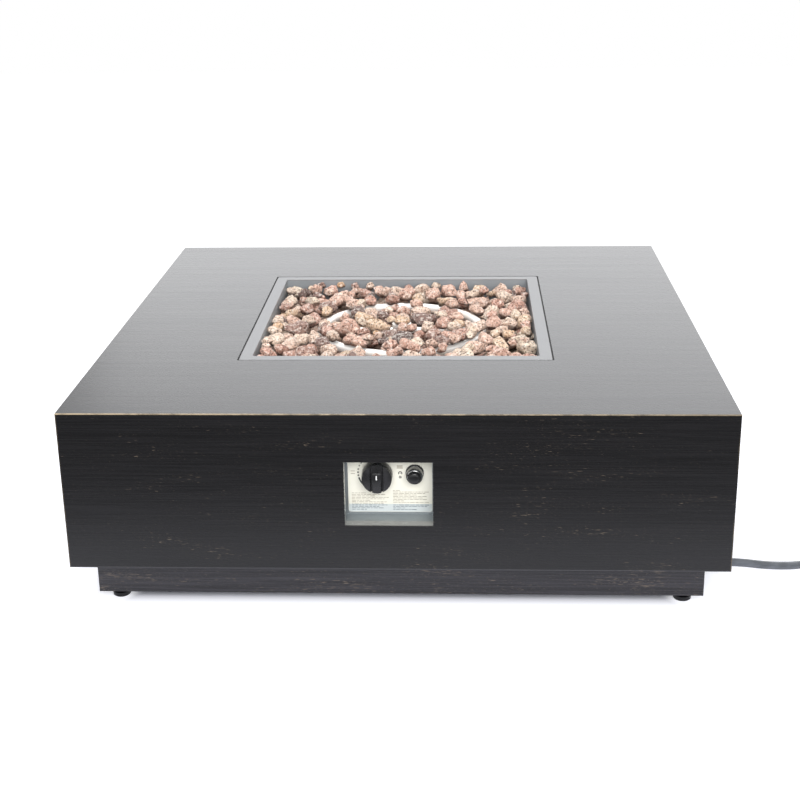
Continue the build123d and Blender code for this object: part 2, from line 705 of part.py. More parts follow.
with BuildPart() as igniter_lead:
    end = (FIRE_X + PILOT_SPREAD, PILOT_Y, Z_FLOOR + ROD_FOOT)
    start = (IGNITER_X + TERMINAL_SPREAD, Y_LABEL + BARREL_LENGTH + TERMINAL_LENGTH, Z_AXIS)
    bend = (end[0], end[1], level)
    route([start, (start[0], start[1] + 60, start[2]), (end[0], end[1] - 60, level), bend, end], SPARK_LEAD_R)
save(igniter_lead, "igniter_lead")

# Lava rock: the buried layer as one bed, the upper stones one by one
with BuildPart() as lava_bed:
    bed_side = WALL_IN - 2 * BED_CLEAR
    with BuildSketch(Plane.XY.offset(Z_FLOOR)):
        with Locations((FIRE_X, 0)):
            RectangleRounded(bed_side, bed_side, WALL_ROUND)
            Circle(COLLAR_R + 1, mode=Mode.SUBTRACT)
        with Locations((FIRE_X, PILOT_Y)):
            Rectangle(BRACKET_WIDTH + 2, BRACKET_DEPTH + 2, mode=Mode.SUBTRACT)
    extrude(amount=Z_BED - Z_FLOOR)
save(lava_bed, "lava_bed")


def part_of_one(value):
    return value - math.floor(value)


# Distance from a point to the burner's tubes, hub and flame rods
def burner_distance(x, y, z):
    x = x - FIRE_X
    ring = math.hypot(math.hypot(x, y) - RING_R, z - Z_RING) - TUBE_R
    beyond = max(abs(x) - RING_R, 0)
    cross = math.sqrt(beyond**2 + y**2 + (z - Z_RING) ** 2) - TUBE_R
    hub = math.hypot(x, y) - HUB_R
    rods = math.hypot(max(abs(x) - PILOT_SPREAD, 0), y - PILOT_Y) - CERAMIC_R - ROD_COLLAR
    return min(ring, cross, hub, rods)


# Corners of one stone inside a ball, its lowest corner at the ball's foot
def stone(x, y, z, radius, seed):
    corners = [(x, y, z - radius)]
    for k in range(ROCK_CORNERS):
        up = 1 - 2 * (k + 0.5) / ROCK_CORNERS
        turn = 2.399963 * k + 1.7 * seed
        reach = radius * (0.84 + 0.16 * part_of_one(0.618034 * (seed + 7 * k)))
        flat = reach * math.sqrt(1 - up * up)
        corners.append((x + flat * math.cos(turn), y + flat * math.sin(turn), z + reach * up))
    return corners


balls = []
for k in range(RING_ROCKS):
    turn = 2 * math.pi * (k + 0.3 * part_of_one(0.618034 * k)) / RING_ROCKS
    if abs(math.sin(turn)) > 0.55:
        z = Z_RING + TUBE_R + ROCK_REST + RING_ROCK_R
        balls.append((FIRE_X + RING_R * math.cos(turn), RING_R * math.sin(turn), z, RING_ROCK_R))
for size in ROCK_SIZES:
    for k in range(ROCK_TRIES):
        radius = size * (0.88 + 0.12 * part_of_one(0.618034 * k))
        room = WALL_IN - 2 * (radius + ROCK_GAP)
        x = FIRE_X + room * (part_of_one(0.7548777 * k + 0.013 * size) - 0.5)
        y = room * (part_of_one(0.5698403 * k + 0.029 * size) - 0.5)
        z = Z_BED + ROCK_REST + radius
        gaps = [math.dist((x, y, z), ball[:3]) - radius - ball[3] for ball in balls]
        if min(gaps) > ROCK_GAP and burner_distance(x, y, z) > radius + ROCK_GAP:
            balls.append((x, y, z, radius))
print("stones", len(balls), "highest", max(ball[2] + ball[3] for ball in balls))

with BuildPart() as lava_rocks:
    stones = [
        ConvexPolyhedron(stone(*ball, number), mode=Mode.PRIVATE) for number, ball in enumerate(balls)
    ]
    add(stones)
save(lava_rocks, "lava_rocks")

# Control niche
with BuildPart() as control_box:
    in_x = WINDOW_WIDTH / 2 + SHEET + BOX_FIT
    in_z = WINDOW_HEIGHT / 2 + SHEET + BOX_FIT
    out_x = in_x + BOX_SHEET
    out_z = in_z + BOX_SHEET
    rim_x = out_x + BOX_FLANGE
    rim_z = out_z + BOX_FLANGE
    front = -HALF + SHEET
    block((FIRE_X - out_x, front, Z_WINDOW - out_z), (FIRE_X + out_x, Y_PLATE, Z_WINDOW + out_z))
    for y in (front, Y_PLATE - BOX_SHEET):
        block((FIRE_X - rim_x, y, Z_WINDOW - rim_z), (FIRE_X + rim_x, y + BOX_SHEET, Z_WINDOW + rim_z))
    block(
        (FIRE_X - in_x, front, Z_WINDOW - in_z),
        (FIRE_X + in_x, Y_PLATE, Z_WINDOW + in_z),
        Mode.SUBTRACT,
    )
    screw_x = out_x + BOX_FLANGE / 2
    screw_z = out_z + BOX_FLANGE / 2
    for sx, sz in CORNERS:
        at = (FIRE_X + sx * screw_x, Y_PLATE - BOX_SHEET, Z_WINDOW + sz * screw_z)
        rod(at, "y", BOX_SHEET, PLATE_SCREW_R + SCREW_CLEAR, Mode.SUBTRACT)
save(control_box, "control_box")

with BuildPart() as control_plate:
    block((FIRE_X - rim_x, Y_PLATE, Z_WINDOW - rim_z), (FIRE_X + rim_x, Y_BACK, Z_WINDOW + rim_z))
    rod((KNOB_X, Y_PLATE, Z_AXIS), "y", PLATE_SHEET, STEM_HOLE, Mode.SUBTRACT)
    rod((IGNITER_X, Y_PLATE, Z_AXIS), "y", PLATE_SHEET, BARREL_R + BARREL_CLEAR, Mode.SUBTRACT)
    for s in (-1, 1):
        at = (KNOB_X, Y_PLATE, Z_AXIS + s * VALVE_SCREW_SPAN)
        rod(at, "y", PLATE_SHEET, PLATE_SCREW_R + SCREW_CLEAR, Mode.SUBTRACT)
    for sx, sz in CORNERS:
        at = (FIRE_X + sx * screw_x, Y_PLATE, Z_WINDOW + sz * screw_z)
        rod(at, "y", PLATE_SHEET, PLATE_SCREW_R + SCREW_CLEAR, Mode.SUBTRACT)
save(control_plate, "control_plate")

with BuildPart() as dial_label:
    with BuildSketch(Plane.XZ.offset(-Y_PLATE)):
        with Locations((FIRE_X, Z_WINDOW)):
            RectangleRounded(LABEL_WIDTH, LABEL_HEIGHT, LABEL_ROUND)
        with Locations((KNOB_X, Z_AXIS)):
            Circle(LABEL_STEM_HOLE, mode=Mode.SUBTRACT)
        with Locations((IGNITER_X, Z_AXIS)):
            Circle(BARREL_R + BARREL_CLEAR, mode=Mode.SUBTRACT)
    extrude(amount=LABEL_SHEET)
save(dial_label, "dial_label")


# Round section with one flat, for the stem and its seats
def flatted(plane, radius, flat, length, mode=Mode.ADD):
    with BuildSketch(plane) as section:
        Circle(radius)
        with Locations((0, flat + radius)):
            Rectangle(2 * radius, 2 * radius, mode=Mode.SUBTRACT)
    extrude(section.sketch, amount=length, mode=mode)


# Plane across the knob's axis, facing the user
def knob_plane(y):
    return Plane(origin=(KNOB_X, y, Z_AXIS), x_dir=(1, 0, 0), z_dir=(0, -1, 0))


with BuildPart() as control_knob:
    with BuildSketch(knob_plane(Y_KNOB)):
        Circle(KNOB_R)
    extrude(amount=KNOB_SKIRT, taper=KNOB_DRAFT)
    fillet(control_knob.faces().sort_by(Axis.Y)[0].edges(), 1.2)
    with BuildSketch(knob_plane(Y_GRIP)):
        RectangleRounded(GRIP_WIDTH, 2 * (KNOB_R - GRIP_INSET), GRIP_WIDTH / 2 - 1)
    extrude(amount=KNOB_GRIP, taper=GRIP_TAPER)
    fillet(control_knob.faces().sort_by(Axis.Y)[0].edges(), 1)
    with BuildSketch(Plane.YZ.offset(KNOB_X - GRIP_WIDTH)) as slope:
        with BuildLine():
            Polyline(
                (Y_GRIP, Z_AXIS + KNOB_R - GRIP_INSET),
                (Y_FACE, Z_AXIS + GRIP_CREST),
                (Y_FACE - 1, Z_AXIS + KNOB_R),
                close=True,
            )
        make_face()
    extrude(slope.sketch, amount=2 * GRIP_WIDTH, mode=Mode.SUBTRACT)
    with BuildSketch(knob_plane(Y_KNOB)):
        Circle(KNOB_R - KNOB_WALL)
        Circle(KNOB_HUB_R, mode=Mode.SUBTRACT)
    extrude(amount=KNOB_RECESS, mode=Mode.SUBTRACT)
    flatted(knob_plane(Y_KNOB), STEM_R + STEM_FIT, STEM_FLAT + STEM_FIT, KNOB_BORE, Mode.SUBTRACT)
    with BuildSketch(knob_plane(Y_FACE + POINTER_POCKET)):
        with Locations((0, POINTER_RISE)):
            Rectangle(POINTER_WIDTH, POINTER_LENGTH)
    extrude(amount=POINTER_POCKET + 1, mode=Mode.SUBTRACT)
save(control_knob, "control_knob")

with BuildPart() as knob_pointer:
    with BuildSketch(knob_plane(Y_FACE + POINTER_POCKET)):
        with Locations((0, POINTER_RISE)):
            Rectangle(POINTER_WIDTH - 2 * POINTER_FIT, POINTER_LENGTH - 2 * POINTER_FIT)
    extrude(amount=POINTER_SHEET)
save(knob_pointer, "knob_pointer")

with BuildPart() as valve_stem:
    Y_STEM = Y_BACK + PLUG_LENGTH - 8
    flatted(knob_plane(Y_STEM), STEM_R, STEM_FLAT, Y_STEM - Y_KNOB + KNOB_BORE - STEM_FIT)
save(valve_stem, "valve_stem")

with BuildPart() as stem_spring:
    start = Y_KNOB + SPRING_END
    length = Y_BACK + PLUG_END - SPRING_END - start
    rod((KNOB_X, start, Z_AXIS), "y", length, SPRING_OUTER)
    rod((KNOB_X, start, Z_AXIS), "y", length, SPRING_INNER, Mode.SUBTRACT)
save(stem_spring, "stem_spring")

with BuildPart() as valve_plug:
    back = Y_BACK + PLUG_END + PLUG_LENGTH
    rod((KNOB_X, Y_BACK + PLUG_END, Z_AXIS), "y", PLUG_LENGTH, PLUG_R)
    flatted(knob_plane(back), STEM_R + STEM_FIT, STEM_FLAT + STEM_FIT, PLUG_LENGTH, Mode.SUBTRACT)
save(valve_plug, "valve_plug")

with BuildPart() as gas_valve:
    with BuildSketch(Plane.XZ.offset(-Y_VALVE)):
        with Locations((KNOB_X, Z_AXIS)):
            RectangleRounded(VALVE_WIDTH, VALVE_HEIGHT, VALVE_ROUND)
    extrude(amount=VALVE_DEPTH)
    rod((KNOB_X, Y_VALVE, Z_AXIS - OUTLET_DROP), "y", OUTLET_LENGTH, OUTLET_R)
    bore = PLUG_LENGTH + 2 * PLUG_END
    rod((KNOB_X, Y_BACK, Z_AXIS), "y", bore, PLUG_R + PLUG_FIT, Mode.SUBTRACT)
    rod((KNOB_X, Y_BACK, Z_AXIS), "y", bore + STEM_HOLE, STEM_HOLE, Mode.SUBTRACT)
    outlet = (KNOB_X, Y_BACK + PLUG_LENGTH, Z_AXIS - OUTLET_DROP)
    rod(outlet, "y", Y_VALVE + OUTLET_LENGTH - outlet[1], SUPPLY_BORE, Mode.SUBTRACT)
    for s in (-1, 1):
        at = (KNOB_X, Y_BACK, Z_AXIS + s * VALVE_SCREW_SPAN)
        rod(at, "y", VALVE_SCREW_LENGTH, PLATE_SCREW_R + THREAD_FIT, Mode.SUBTRACT)
save(gas_valve, "gas_valve")

# Screws of one kind, two into the valve and four at the plate's corners
with BuildPart() as plate_screws:
    shank = PLATE_SHEET + VALVE_SCREW_LENGTH - 1
    for s in (-1, 1):
        at = (KNOB_X, Y_PLATE, Z_AXIS + s * VALVE_SCREW_SPAN)
        rod(at, "y", shank, PLATE_SCREW_R)
        rod(at, "y", -VALVE_SCREW_HEAD, PLATE_SCREW_HEAD)
    for sx, sz in CORNERS:
        at = (FIRE_X + sx * screw_x, Y_BACK, Z_WINDOW + sz * screw_z)
        rod(at, "y", -shank, PLATE_SCREW_R)
        rod(at, "y", VALVE_SCREW_HEAD, PLATE_SCREW_HEAD)
save(plate_screws, "plate_screws")

with BuildPart() as safety_magnet:
    rod((KNOB_X, Y_VALVE, Z_AXIS + MAGNET_RISE), "y", MAGNET_LENGTH, MAGNET_R)
save(safety_magnet, "safety_magnet")

with BuildPart() as inlet_fitting:
    inlet_y = Y_VALVE - INLET_BACK
    hexagon(Plane((KNOB_X, inlet_y, Z_INLET + INLET_LENGTH)), INLET_FLATS, INLET_HEX)
    rod((KNOB_X, inlet_y, Z_INLET), "z", INLET_LENGTH, INLET_R)
save(inlet_fitting, "inlet_fitting")

# Igniter with a screw cap over its battery
with BuildPart() as igniter_body:
    rod((IGNITER_X, Y_FLANGE, Z_AXIS), "y", FLANGE_HEIGHT, FLANGE_R)
    rod((IGNITER_X, Y_FLANGE, Z_AXIS), "y", -THREAD_LENGTH, THREAD_R)
    rod((IGNITER_X, Y_LABEL, Z_AXIS), "y", BARREL_LENGTH, BARREL_R)
    cavity = Y_FLANGE - THREAD_LENGTH
    deep = Y_LABEL + BARREL_LENGTH - BARREL_WALL - cavity
    rod((IGNITER_X, cavity, Z_AXIS), "y", deep, BATTERY_R + BATTERY_CLEAR, Mode.SUBTRACT)
    for s in (-1, 1):
        x = IGNITER_X + s * TERMINAL_SPREAD
        start = (x - TERMINAL_SHEET / 2, Y_LABEL + BARREL_LENGTH, Z_AXIS - TERMINAL_WIDTH / 2)
        end = (x + TERMINAL_SHEET / 2, start[1] + TERMINAL_LENGTH, Z_AXIS + TERMINAL_WIDTH / 2)
        block(start, end)
save(igniter_body, "igniter_body")

with BuildPart() as igniter_nut:
    plane = Plane(origin=(IGNITER_X, Y_BACK + IGNITER_NUT, Z_AXIS), x_dir=(1, 0, 0), z_dir=(0, -1, 0))
    hexagon(plane, IGNITER_FLATS, IGNITER_NUT)
    rod((IGNITER_X, Y_BACK, Z_AXIS), "y", IGNITER_NUT, BARREL_R + THREAD_FIT, Mode.SUBTRACT)
save(igniter_nut, "igniter_nut")

with BuildPart() as igniter_battery:
    rod((IGNITER_X, Y_FLANGE - 1.5, Z_AXIS), "y", BATTERY_LENGTH, BATTERY_R)
save(igniter_battery, "igniter_battery")

with BuildPart() as igniter_cap:
    rod((IGNITER_X, Y_CAP, Z_AXIS), "y", CAP_LENGTH, CAP_R)
    fillet(igniter_cap.faces().sort_by(Axis.Y)[0].edges(), 1.5)
    grip = THREAD_LENGTH + THREAD_GAP
    rod((IGNITER_X, Y_FLANGE - grip, Z_AXIS), "y", grip, THREAD_R + THREAD_GAP, Mode.SUBTRACT)
    hollow = CAP_LENGTH - CAP_FRONT - grip
    rod((IGNITER_X, Y_CAP + CAP_FRONT, Z_AXIS), "y", hollow, CAP_CAVITY, Mode.SUBTRACT)
    rod((IGNITER_X, Y_CAP, Z_AXIS), "y", CAP_FRONT, BUTTON_R + BUTTON_FIT, Mode.SUBTRACT)
save(igniter_cap, "igniter_cap")

with BuildPart() as igniter_button:
    Y_SKIRT = Y_CAP + CAP_FRONT + BUTTON_STOP
    rod((IGNITER_X, Y_SKIRT, Z_AXIS), "y", Y_CAP - BUTTON_RISE - Y_SKIRT, BUTTON_R)
    fillet(igniter_button.faces().sort_by(Axis.Y)[0].edges(), 2.0)
    rod((IGNITER_X, Y_SKIRT, Z_AXIS), "y", BUTTON_SKIRT, BUTTON_SKIRT_R)
save(igniter_button, "igniter_button")

# Hose from the valve, through the plinth, over the floor to its coil
with BuildPart() as inner_hose:
    route(
        [
            (KNOB_X, inlet_y, Z_INLET),
            (KNOB_X, inlet_y, Z_INLET - 55),
            (KNOB_X + 50, inlet_y, HOSE_Z + 8),
            (KNOB_X + 140, inlet_y, HOSE_Z - 6),
            (KNOB_X + 300, HOSE_Y, HOSE_Z - 14),
            (PLINTH_HALF - 45, HOSE_Y, HOSE_Z),
            (X_EXIT, HOSE_Y, HOSE_Z),
        ],
        HOSE_R,
    )
save(inner_hose, "inner_hose")

with BuildPart() as hose_grommet:
    rod((PLINTH_HALF - SHEET, HOSE_Y, HOSE_Z), "x", SHEET, GROMMET_HOLE - GROMMET_FIT)
    rod((PLINTH_HALF - SHEET, HOSE_Y, HOSE_Z), "x", -GROMMET_LIP, GROMMET_LIP_R)
    rod((PLINTH_HALF, HOSE_Y, HOSE_Z), "x", GROMMET_LIP, GROMMET_LIP_R)
    with Locations((PLINTH_HALF + GROMMET_LIP + GROMMET_NOSE / 2, HOSE_Y, HOSE_Z)):
        Cone(GROMMET_LIP_R - 2, GROMMET_NOSE_R, GROMMET_NOSE, rotation=(0, 90, 0))
    inside = PLINTH_HALF - SHEET - GROMMET_LIP
    rod((inside, HOSE_Y, HOSE_Z), "x", X_EXIT - inside, HOSE_R + HOSE_BORE_FIT, Mode.SUBTRACT)
save(hose_grommet, "hose_grommet")

COIL_IN = (COIL_X + COIL_R, COIL_Y - 2 * HOSE_R, Z_HOSE)
FREE_RUN = [
    (X_EXIT, HOSE_Y, HOSE_Z),
    (X_EXIT + 42, HOSE_Y, HOSE_Z),
    (X_EXIT + 98, HOSE_Y + 28, HOSE_Z - 17),
    (X_EXIT + 160, HOSE_Y + 72, Z_HOSE + 1.5),
    (COIL_IN[0] - 108, COIL_IN[1] - 184, Z_HOSE),
    (COIL_IN[0] - 52, COIL_IN[1] - 141, Z_HOSE),
    (COIL_IN[0] - 17, COIL_IN[1] - 92, Z_HOSE),
    (COIL_IN[0], COIL_IN[1] - 40, Z_HOSE),
    COIL_IN,
]
with BuildPart() as gas_hose:
    free_line = route(FREE_RUN, HOSE_R)
save(gas_hose, "gas_hose")
print("hose bends", [round(r) for r in bend_radii(FREE_RUN)], "free length", round(free_line.length))

# Coil: half turns inward on the floor, one that climbs, half turns outward on top
with BuildPart() as hose_coil:
    with BuildLine(mode=Mode.PRIVATE) as turns:
        last = Line(COIL_IN, (COIL_IN[0], COIL_Y, Z_HOSE))
        radius = COIL_R
        for k in range(COIL_LOWER):
            last = JernArc(last @ 1, last % 1, radius, 180)
            radius = radius - COIL_PITCH / 2
        a = last @ 1
        heading = last % 1
        b = a + Vector(2 * radius if COIL_LOWER % 2 else -2 * radius, 0, COIL_PITCH)
        reach = (b - a).length / 2
        middle = (a + b) * 0.5 + heading * reach
        TangentArc(a, middle, tangent=heading)
        last = TangentArc(middle, b, tangent=(b - a).normalized())
        for k in range(COIL_UPPER):
            radius = radius + COIL_PITCH / 2
            last = JernArc(last @ 1, heading * -1 if k % 2 == 0 else heading, radius, 180)
        leave = last @ 1
        Line(leave, leave + Vector(0, 2 * HOSE_R, 0))
    coil_line = turns.wire()
    follow(coil_line, HOSE_R)
save(hose_coil, "hose_coil")
steps = int(coil_line.length / 3)
spots = [coil_line @ (k / steps) for k in range(steps + 1)]
apart = int(8 * HOSE_R / 3)
least = min(
    (spots[i] - spots[j]).length for i in range(len(spots)) for j in range(i + apart, len(spots))
)
print("coil length", round(coil_line.length), "least gap", round(least - 2 * HOSE_R, 2))
print("coil volume ratio", hose_coil.part.volume / (math.pi * HOSE_R**2 * coil_line.length))

COIL_OUT = tuple(coil_line @ 1)
Y_FERRULE = COIL_OUT[1] + 128
with BuildPart() as hose_tail:
    tail_line = route(
        [
            COIL_OUT,
            (COIL_OUT[0], COIL_OUT[1] + 40, COIL_OUT[2]),
            (COIL_OUT[0], Y_FERRULE - 40, REGULATOR_AXIS),
            (COIL_OUT[0], Y_FERRULE, REGULATOR_AXIS),
        ],
        HOSE_R,
    )
save(hose_tail, "hose_tail")
print("hose total", round(free_line.length + coil_line.length + tail_line.length))

with BuildPart() as hose_tie:
    in_x = COIL_R + HOSE_R + TIE_CLEAR
    low = Z_HOSE - HOSE_R - TIE_CLEAR
    near = COIL_R - COIL_PITCH - HOSE_R - TIE_CLEAR
    high = Z_HOSE + COIL_PITCH + HOSE_R + TIE_CLEAR
    width = TIE_WIDTH / 2
    block(
        (COIL_X - in_x - TIE_SHEET, COIL_Y - width, low - TIE_SHEET),
        (COIL_X - near + TIE_SHEET, COIL_Y + width, high + TIE_SHEET),
    )
    block((COIL_X - in_x, COIL_Y - width, low), (COIL_X - near, COIL_Y + width, high), Mode.SUBTRACT)
save(hose_tie, "hose_tie")

# Regulator on the hose's end
REG_X = COIL_OUT[0]
Y_BODY = Y_FERRULE + FERRULE_LENGTH
REG_Y = Y_BODY + PORT_BOSS + REGULATOR_R
Y_COUPLING = REG_Y + REGULATOR_R + PORT_BOSS
Y_NUT = Y_COUPLING + COUPLING_BACK

with BuildPart() as hose_ferrule:
    rod((REG_X, Y_FERRULE, REGULATOR_AXIS), "y", FERRULE_LENGTH, FERRULE_R)
save(hose_ferrule, "hose_ferrule")

with BuildPart() as regulator_body:
    low = REGULATOR_AXIS - REGULATOR_BELOW
    rod((REG_X, REG_Y, low), "z", REGULATOR_BELOW + REGULATOR_ABOVE, REGULATOR_R)
    fillet(regulator_body.edges(), 3.0)
    rod((REG_X, Y_BODY, REGULATOR_AXIS - 4), "y", Y_COUPLING - Y_BODY, PORT_BOSS_R)
save(regulator_body, "regulator_body")

with BuildPart() as regulator_bonnet:
    low = REGULATOR_AXIS + REGULATOR_ABOVE
    rod((REG_X, REG_Y, low), "z", BONNET_HEIGHT, BONNET_R - 3)
    fillet(regulator_bonnet.faces().sort_by(Axis.Z)[-1].edges(), 4.0)
    rod((REG_X, REG_Y, low + BONNET_HEIGHT), "z", VENT_HEIGHT, VENT_R)
save(regulator_bonnet, "regulator_bonnet")

with BuildPart() as coupling_nipple:
    inside = Y_NUT + NUT_WALL + NUT_SHAKE
    rod((REG_X, Y_COUPLING, REGULATOR_AXIS), "y", inside + COUPLING_REACH - Y_COUPLING, COUPLING_R)
    rod((REG_X, inside, REGULATOR_AXIS), "y", COUPLING_HEAD, COUPLING_HEAD_R)
    fillet(coupling_nipple.faces().sort_by(Axis.Y)[-1].edges(), 3.0)
save(coupling_nipple, "coupling_nipple")

with BuildPart() as coupling_nut:
    at = (REG_X, Y_NUT, REGULATOR_AXIS)
    rod(at, "y", NUT_LENGTH, NUT_R)
    for k in range(NUT_RIBS):
        turn = 2 * math.pi * k / NUT_RIBS
        x = REG_X + NUT_R * math.cos(turn)
        z = REGULATOR_AXIS + NUT_R * math.sin(turn)
        rod((x, Y_NUT, z), "y", NUT_LENGTH, NUT_RIB_R, Mode.SUBTRACT)
    rod(at, "y", NUT_WALL, COUPLING_R + COUPLING_FIT, Mode.SUBTRACT)
    mouth = (REG_X, Y_NUT + NUT_WALL, REGULATOR_AXIS)
    rod(mouth, "y", NUT_LENGTH - NUT_WALL, NUT_CAVITY, Mode.SUBTRACT)
save(coupling_nut, "coupling_nut")
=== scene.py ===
import math
import random

import bmesh
import bpy
import numpy as np
from mathutils import Matrix, Quaternion, Vector, noise


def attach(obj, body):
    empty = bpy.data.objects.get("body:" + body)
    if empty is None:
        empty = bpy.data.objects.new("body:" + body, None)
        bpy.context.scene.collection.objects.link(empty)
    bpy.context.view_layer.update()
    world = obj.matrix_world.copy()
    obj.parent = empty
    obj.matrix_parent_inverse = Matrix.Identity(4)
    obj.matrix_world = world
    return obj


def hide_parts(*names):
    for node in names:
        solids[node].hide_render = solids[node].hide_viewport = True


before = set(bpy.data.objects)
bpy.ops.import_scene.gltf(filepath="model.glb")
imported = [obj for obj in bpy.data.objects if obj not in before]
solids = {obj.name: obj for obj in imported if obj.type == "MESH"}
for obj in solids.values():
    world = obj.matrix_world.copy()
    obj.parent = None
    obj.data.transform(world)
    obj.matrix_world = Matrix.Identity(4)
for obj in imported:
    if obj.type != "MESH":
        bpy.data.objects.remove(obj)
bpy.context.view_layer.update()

# Sizes in metres, in the frame of the solids: +X right, -Y front, +Z up
HALF = 0.47
TOP = 0.308
APRON_LOW = 0.072
FIRE_X = -0.010
PAN_HALF = 0.221
BED_TOP = 0.258
RING_R = 0.135
RING_Z = 0.280
TUBE_R = 0.008
HUB_R = 0.016
HUB_TOP = 0.292
LABEL_FACE = -0.4274
PRINT_LIFT = 0.00006
DIAL_Z = 0.203
KNOB_X = -0.0274
KNOB_BACK = -0.4329
KNOB_STEP = -0.4495
KNOB_CHEEK = -0.4529
KNOB_FRONT = -0.4569
IGNITER_X = 0.0253
CAP_BACK = -0.4296
BUTTON_BACK = -0.4433
HOSE_R = 0.00625
CAMERA_AT = Vector((0.0933, -2.2064, 0.9756))


def srgb(red, green, blue):
    """A screen colour as the linear colour that a shader takes."""
    return tuple((c / 12.92 if c <= 0.04045 else ((c + 0.055) / 1.055) ** 2.4)
                 for c in (red / 255, green / 255, blue / 255)) + (1.0,)


class Wire:
    """One socket of a finish, so that masks and heights are written as sums."""

    def __init__(self, finish, socket):
        self.finish = finish
        self.socket = socket

    def __add__(self, other):
        return self.finish.math("ADD", self, other)

    def __radd__(self, other):
        return self.finish.math("ADD", other, self)

    def __sub__(self, other):
        return self.finish.math("SUBTRACT", self, other)

    def __rsub__(self, other):
        return self.finish.math("SUBTRACT", other, self)

    def __mul__(self, other):
        return self.finish.math("MULTIPLY", self, other)

    def __rmul__(self, other):
        return self.finish.math("MULTIPLY", other, self)

    def __abs__(self):
        return self.finish.math("ABSOLUTE", self)


class Finish:
    """A material and the nodes that give it its grain, colour and wear."""

    def __init__(self, name):
        self.material = bpy.data.materials.new(name)
        self.material.use_nodes = True
        self.nodes = self.material.node_tree.nodes
        self.links = self.material.node_tree.links
        self.nodes.clear()
        self.place = self.node("ShaderNodeTexCoord", out="Object")
        self.axis = {a: self.node("ShaderNodeSeparateXYZ", {}, {0: self.place}, out=i)
                     for i, a in enumerate("xyz")}

    def node(self, kind, settings=None, sockets=None, out=0):
        made = self.nodes.new(kind)
        for key, value in (settings or {}).items():
            if key == "stops":
                for i, (at, colour) in enumerate(value):
                    stop = made.color_ramp.elements[i] if i < 2 else made.color_ramp.elements.new(at)
                    stop.position = at
                    stop.color = colour
            else:
                setattr(made, key, value)
        for key, value in (sockets or {}).items():
            if isinstance(value, Wire):
                self.links.new(value.socket, made.inputs[key])
            else:
                made.inputs[key].default_value = value
        return Wire(self, made.outputs[out])

    def math(self, operation, *values):
        return self.node("ShaderNodeMath", {"operation": operation}, dict(enumerate(values)))

    def largest(self, a, b):
        return self.math("MAXIMUM", a, b)

    def stretched(self, scale):
        return self.node("ShaderNodeVectorMath", {"operation": "MULTIPLY"}, {0: self.place, 1: scale})

    def joined(self, a, b, c):
        return self.node("ShaderNodeCombineXYZ", {}, {0: a, 1: b, 2: c})

    def noise(self, vector, scale, detail=3.0, rough=0.5):
        return self.node("ShaderNodeTexNoise", {}, {"Vector": vector, "Scale": scale, "Detail": detail,
                                                    "Roughness": rough})

    def cells(self, vector, scale):
        return self.node("ShaderNodeTexVoronoi", {"feature": "F1"}, {"Vector": vector, "Scale": scale})

    def step(self, value, low, high):
        return self.node("ShaderNodeMapRange", {"interpolation_type": "SMOOTHSTEP"},
                         {"Value": value, "From Min": low, "From Max": high})

    def mix(self, factor, a, b):
        return self.node("ShaderNodeMix", {"data_type": "RGBA"}, {0: factor, 6: a, 7: b}, out=2)

    def ramp(self, value, *stops):
        return self.node("ShaderNodeValToRGB", {"stops": stops}, {0: value})

    def bump(self, height, distance):
        return self.node("ShaderNodeBump", {},
                         {"Height": height, "Distance": distance, "Strength": 1.0})

    def surface(self, **sockets):
        """The finished material, with sockets written as base_color, roughness and so on."""
        words = {key.replace("_", " ").title().replace("Ior", "IOR"): value
                 for key, value in sockets.items()}
        self.node_output(self.node("ShaderNodeBsdfPrincipled", {}, words))
        return self.material

    def node_output(self, shader):
        end = self.nodes.new("ShaderNodeOutputMaterial")
        self.links.new(shader.socket, end.inputs["Surface"])


